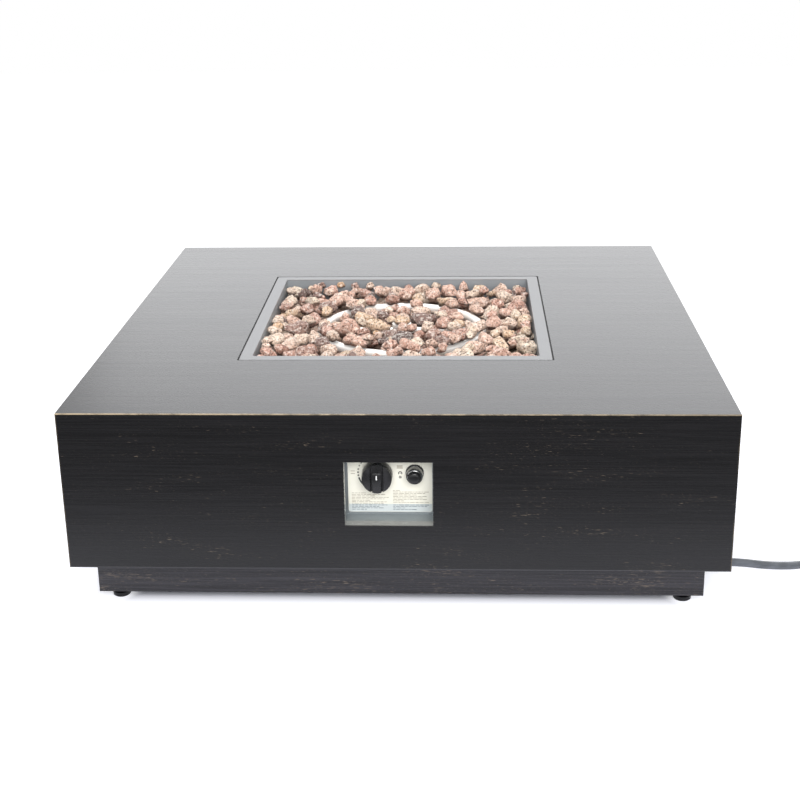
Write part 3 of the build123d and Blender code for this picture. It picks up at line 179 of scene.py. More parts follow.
def brushed_coat(name, along, across, through, dark, light, flecks, grain, edge_wear_and_hem_highlight=0.0, lined=0.0):
    """Dark rubbed coat on sheet steel: fine brush lines, tan flecks, rubbed edges and a painted
    highlight along the bottom hem.
    """
    f = Finish(name)
    run, rise, depth = f.axis[along], f.axis[across], f.axis[through]
    drawn = f.noise(f.joined(run * 6.0, rise * 480.0, depth * 60.0), 1.0, 4.0, 0.7)
    lines = f.step(drawn, 0.30, 0.70)
    bands = f.noise(f.joined(run * 2.0, rise * 70.0, depth * 20.0), 1.0, 2.0)
    dashes = f.noise(f.joined(run * 85.0, rise * 1000.0, depth * 60.0), 1.0, 1.0)
    specks = f.noise(f.joined(run * 330.0, rise * 900.0, depth * 200.0), 1.0, 1.0)
    patches = f.noise(f.joined(run * 7.0, rise * 34.0, depth * 9.0), 1.0, 2.0)
    fleck = f.step(dashes + patches * 0.55, 1.06 - flecks, 1.15 - flecks)
    grit = f.step(specks + patches * 0.30, 0.80 - flecks * 0.5, 1.00 - flecks * 0.5)
    rubbed = f.largest(fleck * 0.46, grit * (0.10 + flecks))
    corner = f.step(f.largest(abs(f.axis["x"]), abs(f.axis["y"])), HALF - 0.0012, HALF - 0.0002)
    out_x, out_y = (f.step(abs(f.axis[a]), HALF - 0.0022, HALF - 0.0006) for a in "xy")
    upright = out_x * out_y
    rub = f.step(f.noise(f.stretched((42.0, 42.0, 60.0)), 1.0, 4.0, 0.65), 0.38, 0.60)
    wide_rub = f.step(f.noise(f.stretched((3.0, 3.0, 9.0)), 1.0, 2.0), 0.40, 0.60)
    top_line = f.step(f.axis["z"], TOP - 0.0022, TOP - 0.0014) * corner * edge_wear_and_hem_highlight
    most_worn = f.largest(upright * wide_rub * 0.22, top_line * (0.55 - f.axis["x"] * 0.4))
    edge = most_worn * (rub * 0.6 + 0.4)
    # painted highlight: a pale grey-blue band along the apron's bottom edge, where the rounded hem
    # would catch light from the floor
    hem_highlight = f.step(f.axis["z"], APRON_LOW + 0.0018, APRON_LOW + 0.0006) * edge_wear_and_hem_highlight
    shade = f.mix((lines - 0.5) * grain + bands * 0.4 + 0.3, dark, light)
    shade = f.mix(rubbed, shade, srgb(148, 132, 114))
    # the painted hem highlight is mixed into the coat here
    shade = f.mix(hem_highlight * 0.4, shade, srgb(92, 91, 96))
    shade = f.mix(edge, shade, srgb(206, 186, 154))
    if lined:
        bare = f.step(f.axis["y"], 0.0010 - HALF, 0.0018 - HALF)
        shade = f.mix(bare * lined, shade, f.mix(bands, srgb(142, 143, 140), srgb(160, 161, 159)))
    gloss = 0.24 + (lines - 0.5) * (0.14 * grain) + bands * 0.06 + rubbed * 0.2
    return f.surface(base_color=shade, roughness=gloss,
                     normal=f.bump(lines * grain + rubbed * 0.4, 0.00005))


def sheet_metal(name, base, spread, rough, metallic, grain=(220.0, 220.0, 220.0), depth=0.00004):
    """Bare or painted metal with a rolled grain, soft stains and fine scuffs."""
    f = Finish(name)
    grains = f.noise(f.stretched(grain), 1.0, 3.0, 0.6)
    stain = f.noise(f.place, 14.0, 4.0, 0.55)
    scuff = f.step(f.noise(f.stretched((900.0, 90.0, 420.0)), 1.0, 1.0), 0.66, 0.78) * 0.25
    shade = f.mix(grains * 0.5 + stain * 0.5, base, spread)
    shade = f.mix(scuff, shade, tuple(min(1.0, c * 1.5) for c in spread[:3]) + (1.0,))
    gloss = rough - 0.10 + grains * 0.12 + stain * 0.12
    return f.surface(base_color=shade, roughness=gloss, metallic=metallic, normal=f.bump(grains, depth))


def moulded(name, base, spread, rough, texture=1800.0, depth=0.00003, shine=0.5, ior=1.5):
    """Moulded plastic or rubber with a fine tooled texture and handling marks."""
    f = Finish(name)
    grain = f.noise(f.place, texture, 2.0)
    smear = f.noise(f.place, 60.0, 4.0, 0.6)
    shade = f.mix(f.step(smear, 0.35, 0.75), base, spread)
    return f.surface(base_color=shade, roughness=rough - 0.08 + smear * 0.16,
                     specular_ior_level=shine, ior=ior, normal=f.bump(grain, depth))


STONE_LAYERS = ("stone_tint", "stone_lit")


def stone_finish(name, loose=True):
    """Red and tan lava: pores dark in their own colour and with painted shade, dusty high spots that
    carry painted highlights, painted shade on each stone's lower part and a tint for each stone.
    """
    f = Finish(name)
    if loose:
        tint, lit = (f.node("ShaderNodeAttribute", {"attribute_name": name}, out="Fac")
                     for name in STONE_LAYERS)
    else:
        tint = lit = f.noise(f.place, 42.0, 2.0)
    body = f.ramp(tint, (0.0, srgb(118, 104, 100)), (0.07, srgb(164, 138, 128)),
                  (0.20, srgb(218, 172, 154)), (0.42, srgb(236, 194, 174)),
                  (0.66, srgb(241, 212, 192)), (0.90, srgb(243, 224, 202)),
                  (1.0, srgb(234, 192, 152)))
    mottle = f.noise(f.place, 190.0, 5.0, 0.75)
    pores = f.cells(f.place, 300.0)
    small = f.cells(f.place, 640.0)
    pit = f.step(pores + (mottle - 0.5) * 0.6, 0.36, 0.18)
    speck = f.step(small, 0.34, 0.16)
    dust_and_highlight = f.step(mottle, 0.50, 0.62)
    shade = f.mix(f.step(mottle, 0.38, 0.51), f.mix(0.45, body, srgb(134, 94, 82)), body)
    # dust on the raised spots, pale enough that it also stands in for painted highlights
    shade = f.mix(dust_and_highlight * 0.7, shade, srgb(255, 246, 237))
    # pores and specks: dark in their own colour, and with painted shade for the inside of each hole
    shade = f.mix(f.largest(pit * 0.8, speck * 0.42), shade, srgb(66, 45, 40))
    # painted shade: each loose stone darkens towards its lower part by its height within the stone; on
    # the bed the same darkening follows noise
    shade = f.mix(f.step(lit, 0.58, 0.18) * 0.85, shade, srgb(46, 32, 28))
    height = mottle * 1.2 - pit * 0.9 - speck * 0.3
    return f.surface(base_color=shade, roughness=0.92, normal=f.bump(height, 0.0030))


def stainless(name, base, rough):
    """Bright rolled stainless tube with fine draw lines and a faint heat tint."""
    f = Finish(name)
    lines = f.noise(f.stretched((260.0, 260.0, 900.0)), 1.0, 2.0)
    warm = f.step(f.noise(f.place, 22.0, 3.0), 0.50, 0.75)
    shade = f.mix(warm * 0.35, base, srgb(226, 208, 184))
    return f.surface(base_color=shade, roughness=rough + lines * 0.14, metallic=0.35,
                     normal=f.bump(lines, 0.00003))


def pan_finish(name):
    """Grey stove coat, pale on the rim and darker and bluish down the walls."""
    f = Finish(name)
    grain = f.noise(f.place, 900.0, 2.0)
    stain = f.noise(f.stretched((16.0, 16.0, 40.0)), 1.0, 4.0, 0.6)
    rim = f.step(f.axis["z"], TOP - 0.003, TOP - 0.0008)
    wall = f.mix(stain, srgb(128, 134, 139), srgb(150, 155, 159))
    shade = f.mix(rim, wall, f.mix(stain, srgb(122, 123, 125), srgb(142, 142, 144)))
    return f.surface(base_color=shade, roughness=0.40 + stain * 0.18, normal=f.bump(grain, 0.00003))


def label_finish(name):
    """Cream film label with a faint grain."""
    f = Finish(name)
    fibre = f.noise(f.stretched((700.0, 700.0, 700.0)), 1.0, 2.0)
    cloud = f.noise(f.place, 40.0, 3.0)
    shade = f.mix(cloud, srgb(241, 238, 223), srgb(247, 245, 233))
    return f.surface(base_color=shade, roughness=0.36 + fibre * 0.12, normal=f.bump(fibre, 0.00001))


def ink(name, base, spread):
    """Screen ink, a little broken where it is thin."""
    f = Finish(name)
    thin = f.noise(f.place, 2400.0, 2.0)
    return f.surface(base_color=f.mix(thin, base, spread), roughness=0.5 + thin * 0.1)


def hose_finish(name):
    """Smooth gas hose: glossy blue-grey rubber with a dusty bloom."""
    f = Finish(name)
    bloom = f.noise(f.stretched((40.0, 40.0, 120.0)), 1.0, 4.0, 0.6)
    skin = f.noise(f.place, 1500.0, 2.0)
    shade = f.mix(f.step(bloom, 0.35, 0.7), srgb(70, 74, 81), srgb(90, 94, 101))
    return f.surface(base_color=shade, roughness=0.14 + bloom * 0.14, specular_ior_level=0.8,
                     normal=f.bump(skin, 0.00002))


# Coats: dark and light tone, flecks, depth of the brush lines, and the share of edge wear and painted
# hem highlight
APRON_COAT = (srgb(7, 7, 8), srgb(23, 22, 24), 0.03, 0.6, 1.0)
TOP_COAT = (srgb(22, 22, 25), srgb(37, 37, 41), -0.04, 0.30, 1.0)
PLINTH_COAT = (srgb(22, 21, 23), srgb(52, 51, 56), 0.09, 0.75)
# Smooth plastic: scale and depth of its texture, and where polished, mirror share and refraction
SATIN = (900.0, 0.000003)
POLISHED = (*SATIN, 1.0, 2.3)

finishes = {
    "front": brushed_coat("coat_front", "x", "z", "y", *APRON_COAT, lined=1.0),
    "back": brushed_coat("coat_back", "x", "z", "y", *APRON_COAT),
    "side": brushed_coat("coat_side", "y", "z", "x", *APRON_COAT),
    "top": brushed_coat("coat_top", "x", "y", "z", *TOP_COAT),
    "plinth_x": brushed_coat("coat_plinth_long", "x", "z", "y", *PLINTH_COAT),
    "plinth_y": brushed_coat("coat_plinth_short", "y", "z", "x", *PLINTH_COAT),
    # painted shadow: the ledge under the pan's rim is near black, so that the gap round the rim shows
    # as a dark line
    "ledge": sheet_metal("ledge_painted_shadow_black", srgb(10, 10, 10), srgb(18, 18, 18), 0.70, 0.0),
    "galvanised": sheet_metal("galvanised_sheet", srgb(146, 152, 155), srgb(176, 181, 183), 0.42, 0.85,
                              (90.0, 90.0, 90.0)),
    "zinc": sheet_metal("zinc_plate", srgb(170, 172, 170), srgb(198, 198, 192), 0.34, 0.9),
    "brass": sheet_metal("turned_brass", srgb(176, 142, 78), srgb(206, 176, 110), 0.34, 0.9,
                         (200.0, 900.0, 200.0)),
    "aluminium": sheet_metal("cast_aluminium", srgb(150, 152, 154), srgb(182, 183, 184), 0.42, 0.8),
    "cast": sheet_metal("cast_iron", srgb(84, 85, 88), srgb(112, 113, 115), 0.58, 0.5, depth=0.0002),
    "steel": sheet_metal("stem_steel", srgb(168, 168, 170), srgb(200, 200, 200), 0.28, 0.95,
                         (900.0, 200.0, 900.0)),
    "copper": sheet_metal("drawn_copper", srgb(166, 98, 66), srgb(198, 128, 90), 0.36, 0.9),
    "ring": stainless("ring_stainless", srgb(248, 247, 244), 0.30),
    "pan": pan_finish("pan_coat"),
    "stone": stone_finish("lava_stone"),
    "bed": stone_finish("lava_bed_stone", loose=False),
    "label": label_finish("label_film"),
    "ink": ink("label_ink", srgb(34, 34, 36), srgb(60, 60, 62)),
    "grey_ink": ink("label_tan_ink", srgb(150, 141, 124), srgb(186, 178, 162)),
    "slate_ink": ink("label_slate_ink", srgb(84, 98, 110), srgb(122, 134, 144)),
    "foot_band": ink("label_blue_band", srgb(202, 210, 211), srgb(216, 222, 221)),
    "white_ink": ink("pointer_paint", srgb(226, 226, 224), srgb(246, 246, 244)),
    "knob": moulded("knob_plastic_black", srgb(25, 25, 26), srgb(39, 39, 41), 0.28),
    "gloss": moulded("igniter_gloss_black", srgb(10, 10, 11), srgb(18, 18, 20), 0.09, *POLISHED),
    "button": moulded("igniter_button_black", srgb(22, 22, 23), srgb(34, 34, 36), 0.20, *SATIN),
    "tie": moulded("tie_black", srgb(18, 18, 19), srgb(34, 34, 36), 0.42),
    "foot": moulded("foot_black", srgb(5, 5, 7), srgb(13, 13, 16), 0.30),
    "body_plastic": moulded("igniter_shell", srgb(16, 16, 17), srgb(28, 28, 30), 0.12, *POLISHED),
    "ceramic": moulded("electrode_ceramic", srgb(226, 222, 210), srgb(244, 242, 234), 0.30),
    "lead": moulded("lead_rubber_red", srgb(94, 26, 22), srgb(126, 40, 34), 0.44),
    "bonnet": moulded("bonnet_paint_red", srgb(112, 24, 22), srgb(146, 38, 32), 0.38),
    "battery": moulded("battery_wrap", srgb(52, 60, 70), srgb(84, 92, 100), 0.30),
    "hose": hose_finish("hose_rubber_grey"),
}

# Finish of each solid
FINISH_OF = {
    "front": ["front_panel"],
    "back": ["back_panel"],
    "side": ["left_panel", "right_panel"],
    "top": ["top_panel"],
    # the pan's ledge takes the near-black painted shadow
    "ledge": ["pan_ledge"],
    "plinth_x": ["plinth_front", "plinth_back"],
    "plinth_y": ["plinth_left", "plinth_right"],
    "galvanised": ["corner_posts", "foot_gussets", "control_box", "control_plate", "heat_shield",
                   "flame_bracket"],
    "zinc": ["base_bolts", "plate_screws", "shield_spacers", "burner_lock_nut", "igniter_nut",
             "safety_magnet", "stem_spring"],
    "foot": ["foot_front_left", "foot_front_right", "foot_back_left", "foot_back_right"],
    "pan": ["burner_pan"],
    "ring": ["burner_ring"],
    "cast": ["air_mixer"],
    "bed": ["lava_bed", "lava_rocks"],
    "brass": ["gas_orifice", "gas_valve", "valve_plug", "inlet_fitting", "coupling_nipple",
              "hose_ferrule"],
    "aluminium": ["supply_tube", "regulator_body"],
    "steel": ["valve_stem", "thermocouple"],
    "copper": ["thermocouple_lead"],
    "ceramic": ["ignition_electrode"],
    "lead": ["igniter_lead"],
    "label": ["dial_label"],
    "knob": ["control_knob"],
    "white_ink": ["knob_pointer"],
    "body_plastic": ["igniter_body"],
    "gloss": ["igniter_cap", "igniter_button"],
    "battery": ["igniter_battery"],
    "hose": ["inner_hose", "gas_hose", "hose_coil", "hose_tail", "hose_grommet"],
    "tie": ["hose_tie", "coupling_nut"],
    "bonnet": ["regulator_bonnet"],
}
for finish, names in FINISH_OF.items():
    for name in names:
        solids[name].data.materials.clear()
        solids[name].data.materials.append(finishes[finish])


def piece_from(bm, name, body, slot, *names, smooth=True):
    """Turns a bmesh into a finished piece that rides on a body."""
    mesh = bpy.data.meshes.new(name)
    bm.to_mesh(mesh)
    bm.free()
    for finish in names:
        mesh.materials.append(finishes[finish])
    mesh.polygons.foreach_set("use_smooth", [smooth] * len(mesh.polygons))
    piece = bpy.data.objects.new(name, mesh)
    bpy.context.scene.collection.objects.link(piece)
    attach(piece, body)
    return piece


# Hose: the same route as the solid tube, on one smooth spline
FREE_RUN = [(0.452, -0.380, 0.042), (0.494, -0.380, 0.042), (0.550, -0.364, 0.027),
            (0.614, -0.329, 0.0110), (0.728, -0.2615, 0.0066), (0.784, -0.2135, 0.0066),
            (0.819, -0.1645, 0.0075), (0.836, -0.1125, 0.00805), (0.836, -0.0725, 0.00805)]
TAIL_RUN = [(0.823, -0.0475, 0.02105), (0.823, -0.0075, 0.02105), (0.823, 0.0405, 0.0245),
            (0.823, 0.0805, 0.0245)]
COIL_X = 0.760
COIL_Y = -0.060
# Each half turn of the coil: its radius, and its height where it starts and ends
HALF_TURNS = [(0.0760, 0.00805, 0.00805), (0.0695, 0.00805, 0.00805), (0.0630, 0.00805, 0.00805),
              (0.0565, 0.00805, 0.02105), (0.0630, 0.02105, 0.02105), (0.0695, 0.02105, 0.02105)]
PER_HALF = 8


def coil_points():
    """Half turns that wind inwards, climb, and wind out again on top."""
    points = []
    x = COIL_X + HALF_TURNS[0][0]
    turn = 1
    for radius, low, high in HALF_TURNS:
        centre = x - turn * radius
        for i in range(PER_HALF):
            share = i / PER_HALF
            angle = math.pi * share
            points.append((centre + turn * radius * math.cos(angle),
                           COIL_Y + turn * radius * math.sin(angle), low + (high - low) * share))
        x = centre - turn * radius
        turn = -turn
    points.append((x, COIL_Y, HALF_TURNS[-1][2]))
    return points


def hose():
    line = bpy.data.curves.new("gas_hose_line", "CURVE")
    line.dimensions = "3D"
    line.resolution_u = 8
    line.bevel_depth = HOSE_R
    line.bevel_resolution = 5
    line.use_fill_caps = True
    route = FREE_RUN + coil_points() + TAIL_RUN
    spline = line.splines.new("NURBS")
    spline.points.add(len(route) - 1)
    for point, at in zip(spline.points, route):
        point.co = (*at, 1.0)
    spline.order_u = 3
    spline.use_endpoint_u = True
    spline.use_smooth = True
    line.materials.append(finishes["hose"])
    piece = bpy.data.objects.new("gas_hose_run", line)
    bpy.context.scene.collection.objects.link(piece)
    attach(piece, "table")
    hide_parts("gas_hose", "hose_coil", "hose_tail")
    return piece


hose_run = hose()


# Lava stones, settled one by one on the bed round the ring
# Lengths of ring that no stone hides from the camera, in degrees from +X
SHOWN_ARCS = [(137, 186), (104, 113), (87, 95), (63, 74), (-6, 48), (-139, -131), (-114, -100)]
# Cell of the grid that holds the height of the pile
GRID = 0.003
# Highest that a stone may be placed, may settle and may reach with its tips
PLACED_TOP = TOP - 0.001
SETTLED_TOP = TOP - 0.0012
TIP_TOP = TOP - 0.0006
# Stones over the hidden ring: degrees to each, and the range of their half sizes
COVER_EVERY = 9
COVER_SIZE = ((0.0130, 0.0150), (0.0112, 0.0128), (0.0098, 0.0106))
HUB_STONES = ((0.0, -0.003), (-0.012, -0.027), (0.015, -0.029))
HUB_SIZE = (0.0150, 0.0135, 0.0082)
# Two rows along the back wall
BACK_GIRTHS = (0.0150, 0.0163)
BACK_ROW = 14
BACK_PITCH = 0.0305
BACK_Y = 0.205
BACK_SHAPE = ((0.95, 1.25), (0.85, 1.05), (0.78, 0.88))
# Stones dropped on the rest of the bed, each on the best of a few spots
DROPS = 700
SPOTS = 14
GIRTHS = (0.0090, 0.0110, 0.0130, 0.0150, 0.0170, 0.0200)
SHAPE = ((0.95, 1.32), (0.85, 1.05), (0.72, 0.92))


def pile_start(gx, gy):
    """Height of the bed with the ring and the hub, before any stone."""
    away = np.hypot(gx, gy) - RING_R
    crown = RING_Z + np.sqrt(np.clip(TUBE_R ** 2 - away ** 2, 0, None))
    level = np.where(np.abs(away) < TUBE_R, crown, BED_TOP)
    return np.where(np.hypot(gx, gy) < HUB_R, HUB_TOP, level)


def pile_goal(gx, gy, line):
    """Height to fill to: more at the walls, the back and the hub, and over the hidden ring."""
    wall = PAN_HALF - np.maximum(np.abs(gx), np.abs(gy))
    swell = np.array([[noise.noise((x * 22, y * 22, 3.1)) for y in line] for x in line])
    goal = (0.292 + 0.011 * np.clip(1 - wall / 0.06, 0, 1) + 0.006 * swell
            + 0.008 * np.clip(gy / 0.1 - 1, 0, 1))
    for x, lift in ((-0.164, 0.014), (-0.040, 0.012), (0.137, 0.014), (-0.10, 0.006)):
        goal += lift * np.exp(-((gx - x) ** 2 + (gy - 0.190) ** 2) / 0.0006)
    goal += 0.016 * np.exp(-(gx ** 2 + gy ** 2) / 0.0008)
    shown = {a % 360 for low, high in SHOWN_ARCS for a in range(low, high + 1)}
    for a in sorted(set(range(0, 360, 6)) - shown):
        x = RING_R * math.cos(math.radians(a))
        y = RING_R * math.sin(math.radians(a)) - 0.014
        goal = np.maximum(goal, 0.304 - 22.0 * ((gx - x) ** 2 + (gy - y) ** 2))
    return goal


def shown_ring():
    """Points on the lengths of ring that show, and the way from each to the camera."""
    arcs = [math.radians(a) for low, high in SHOWN_ARCS for a in range(low, high + 1, 3)]
    ring = np.array([(RING_R * math.cos(a), RING_R * math.sin(a), RING_Z + TUBE_R * 0.8)
                     for a in arcs])
    sight = np.array(CAMERA_AT) - np.array((FIRE_X, 0, 0)) - ring
    return ring, sight / np.linalg.norm(sight, axis=1)[:, None]


def settle_stones(rng):
    """Drops stones where the pile is lowest, and keeps them off the lengths of ring that show."""
    count = int(2 * PAN_HALF / GRID)
    line = (np.arange(count) + 0.5) * GRID - PAN_HALF
    gx, gy = np.meshgrid(line, line, indexing="ij")
    level = pile_start(gx, gy)
    goal = pile_goal(gx, gy, line)
    ring, sight = shown_ring()
    stones = []

    def drop(x, y, size, turn):
        """Where a stone comes to rest on the pile, with the patch of pile that it covers."""
        wide, deep, tall = size
        i, j = (min(count - 1, int((v + PAN_HALF) / GRID)) for v in (x, y))
        half = int(wide / GRID) + 1
        part = (slice(max(0, i - half), i + half + 1), slice(max(0, j - half), j + half + 1))
        dx, dy = gx[part] - x, gy[part] - y
        u = (dx * math.cos(turn) + dy * math.sin(turn)) / wide
        v = (dy * math.cos(turn) - dx * math.sin(turn)) / deep
        dome = tall * np.sqrt(np.clip(1 - u * u - v * v, 0, None))
        under = dome > 0
        z = float((level[part] + dome)[under].max()) - 0.22 * tall
        if abs(math.hypot(x, y) - RING_R) < 0.45 * wide:
            z = max(z, RING_Z + TUBE_R + 0.7 * tall)
        hollow = float((goal[part] - level[part])[under].mean())
        need = hollow - max(0.0, z + tall - goal[i, j]) * 0.6
        return need, x, y, z, part, dome, under

    def settle(spot, size, turn):
        """Adds a stone to the pile."""
        _, x, y, z, part, dome, under = spot
        z = min(z, SETTLED_TOP - size[2])
        level[part] = np.where(under, np.maximum(level[part], z + dome * 0.9), level[part])
        stones.append(((x + FIRE_X, y, z), size, turn))

    ends = sorted(SHOWN_ARCS)
    for (_, low), (high, _) in zip(ends, ends[1:] + [(ends[0][0] + 360, 0)]):
        number = max(1, round((high - low) / COVER_EVERY))
        for k in range(number):
            a = math.radians(low + (high - low) * (k + 0.5) / number)
            size = tuple(rng.uniform(*r) for r in COVER_SIZE)
            out = RING_R + rng.uniform(-0.005, 0.001)
            turn = a + math.pi / 2 + rng.uniform(-0.4, 0.4)
            settle(drop(out * math.cos(a), out * math.sin(a), size, turn), size, turn)
    for x, y in HUB_STONES:
        turn = rng.uniform(0, math.pi)
        settle(drop(x, y, HUB_SIZE, turn), HUB_SIZE, turn)
    for girth in BACK_GIRTHS:
        for k in range(BACK_ROW):
            size = tuple(girth * rng.uniform(*r) for r in BACK_SHAPE)
            x = (k - (BACK_ROW - 1) / 2) * BACK_PITCH + rng.uniform(-0.005, 0.005)
            y = BACK_Y + rng.uniform(-0.006, 0.0)
            turn = rng.uniform(0, 3)
            x = max(size[0] - PAN_HALF, min(PAN_HALF - size[0], x))
            spot = drop(x, y, size, turn)
            if spot[3] + size[2] < PLACED_TOP:
                settle(spot, size, turn)
    for _ in range(DROPS):
        girth = rng.choice(GIRTHS)
        size = tuple(girth * rng.uniform(*r) for r in SHAPE)
        turn = rng.uniform(0, math.pi)
        odds = np.cumsum(np.clip(goal - level, 0, None) ** 2)
        reach = PAN_HALF - size[0] * 0.93
        best = None
        for spot in np.searchsorted(odds, [rng.random() * odds[-1] for _ in range(SPOTS)]):
            i, j = divmod(min(int(spot), count * count - 1), count)
            found = drop(*(max(-reach, min(reach, line[k])) for k in (i, j)), size, turn)
            need, x, y, z = found[:4]
            off = np.array((x, y, z)) - ring
            away = np.linalg.norm(off - (off * sight).sum(1)[:, None] * sight, axis=1)
            if z + size[2] > PLACED_TOP or away.min() < 0.92 * girth:
                continue
            if best is None or need > best[0]:
                best = found
        if best is not None and best[0] > -0.006:
            settle(best, size, turn)
    return stones


def spike(rng):
    """A random direction."""
    return Vector((rng.gauss(0, 1), rng.gauss(0, 1), rng.gauss(0, 1))).normalized()


def lava_stones():
    """Rough stones: a ball each, cut by flats, dented and made lumpy."""
    rng = random.Random(11)
    bm = bmesh.new()
    tint_of, lit_of = (bm.verts.layers.float.new(n) for n in STONE_LAYERS)
    for place, size, turn in settle_stones(rng):
        seed = Vector((rng.uniform(0, 90), rng.uniform(0, 90), rng.uniform(0, 90)))
        tint = rng.random()
        lean = Matrix.Rotation(rng.uniform(-0.3, 0.3), 3, "X") @ Matrix.Rotation(turn, 3, "Z")
        flats = [(spike(rng), rng.uniform(0.50, 0.82)) for _ in range(9)]
        hollows = [(spike(rng), rng.uniform(0.10, 0.26)) for _ in range(5)]
        made = bmesh.ops.create_icosphere(bm, subdivisions=2, radius=1.0)
        for v in made["verts"]:
            p = v.co.normalized()
            sunk = sum(depth * max(0.0, p.dot(way) - 0.80) * 5 for way, depth in hollows)
            for way, depth in flats:
                p -= way * max(0.0, p.dot(way) - depth) * 0.9
            lump = (0.24 * noise.noise(p * 1.5 + seed) + 0.20 * noise.noise(p * 3.1 + seed)
                    + 0.20 * noise.noise(p * 6.3 + seed))
            p *= 1.10 + lump - sunk
            v.co = lean @ Vector(c * s for c, s in zip(p, size)) + Vector(place)
            v.co.z = min(v.co.z, TIP_TOP)
            v[tint_of] = tint
            # height within the stone, which sets the painted shade on its lower part
            v[lit_of] = 0.5 + (v.co.z - place[2]) / size[2] * 0.5
    piece = piece_from(bm, "lava_stones", "table", "lava", "stone", smooth=False)
    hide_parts("lava_rocks")


lava_stones()


# Control window: the dial print, the knob, the igniter cap and its button
FACING_FRONT = Matrix.Rotation(math.pi / 2, 4, "X")
FORWARD = Vector((0, -1, 0))
SIDEWAYS = Vector((1, 0, 0))
ROUNDED = {"segments": 3, "profile": 0.5, "affect": "EDGES", "material": -1}
PRINT_Y = LABEL_FACE - PRINT_LIFT
# Places of the inks among the print's finishes
BLACK, TAN, FOOT, SLATE = range(4)
DIAL_R = 0.0278
SIGN_X = 0.0047
SPARK_Z = 0.2020
FLAME_Z = 0.1960
LEFT_TEXT = (-0.0650, -0.0120)
RIGHT_TEXT = (-0.0060, 0.0450)
ROW_PITCH = 0.0023
FOOT_TEXT_Z = 0.1526
# Radius and distance from the back, along each turned form
KNOB_R = 0.0212
KNOB_STEPS = 84
KNOB_PROFILE = [(0.0, 0.0074), (0.0192, 0.0074), (0.0195, 0.0071), (0.0195, 0.0002),
                (KNOB_R, 0.0002), (0.0217, 0.0006), (0.0219, 0.0014), (0.0218, 0.0060),
                (0.0215, 0.0150), (KNOB_R, 0.0164), (0.0206, 0.0172), (0.0, 0.0172)]
IGNITER_STEPS = 72
CAP_PROFILE = [(0.0086, 0.0), (0.0117, 0.0), (0.0119, 0.0003), (0.0119, 0.0060),
               (0.0118, 0.0124), (0.0116, 0.0132), (0.0112, 0.0138), (0.0093, 0.0149),
               (0.0089, 0.0151), (0.0086, 0.0148), (0.0086, 0.0)]
BUTTON_PROFILE = [(0.0, 0.0002), (0.0094, 0.0002), (0.0094, 0.0013), (0.0082, 0.0014),
                  (0.0082, 0.0064), (0.0080, 0.0070), (0.0073, 0.0075), (0.0055, 0.0081),
                  (0.0030, 0.0085), (0.0, 0.0086)]


def inked(made, ink_index):
    """Gives new flat faces their ink, and returns their corners."""
    for face in {f for v in made["verts"] for f in v.link_faces}:
        face.material_index = ink_index
    return made["verts"]


def bar(bm, x, z, width, height, ink_index):
    spot = Matrix.Translation((x, PRINT_Y, z)) @ FACING_FRONT
    spot = spot @ Matrix.Diagonal((width, height, 1, 1))
    return inked(bmesh.ops.create_grid(bm, x_segments=1, y_segments=1, size=0.5, matrix=spot),
                 ink_index)


def dot(bm, x, z, radius, segments=14):
    spot = Matrix.Translation((x, PRINT_Y, z)) @ FACING_FRONT
    inked(bmesh.ops.create_circle(bm, cap_ends=True, segments=segments, radius=radius, matrix=spot),
          BLACK)


def arc(bm, x, z, radius, start, end, width, thin_end):
    """A curved dash of the dial that narrows towards its end angle."""
    a, b = math.radians(start), math.radians(end)
    ends = [bm.verts.new((x + r * math.cos(a), PRINT_Y, z + r * math.sin(a)))
            for r in (radius - width / 2, radius + width / 2)]
    bmesh.ops.spin(bm, geom=[*ends, bm.edges.new(ends)], cent=(x, PRINT_Y, z), axis=FORWARD,
                   angle=b - a, steps=max(2, int(abs(end - start) / 4)))
    band = {v for v in bm.verts if v.index == -1} | set(ends)
    band = {v for v in band if abs(math.hypot(v.co.x - x, v.co.z - z) - radius) < width}
    for v in band:
        share = (math.atan2(v.co.z - z, v.co.x - x) % (2 * math.pi) - a) / (b - a)
        off = math.hypot(v.co.x - x, v.co.z - z) - radius
        keep = radius + off * (1 + (thin_end / width - 1) * share)
        v.co.x, v.co.z = (c + (k - c) * keep / (radius + off)
                          for c, k in ((x, v.co.x), (z, v.co.z)))
        for face in v.link_faces:
            face.material_index = BLACK
    bm.verts.index_update()


def text_rows(bm, rng, span, top, shares, ink_index):
    """Plain strokes where a label has small print, each row filling its share of the span."""
    left, right = span
    for row, share in enumerate(shares):
        x = left
        while x < left + (right - left) * share - 0.003:
            word = min(rng.uniform(0.002, 0.0075), left + (right - left) * share - x)
            tall = rng.uniform(0.0007, 0.0010)
            bar(bm, x + word / 2, top - ROW_PITCH * row, word, tall, ink_index)
            x += word + 0.0011


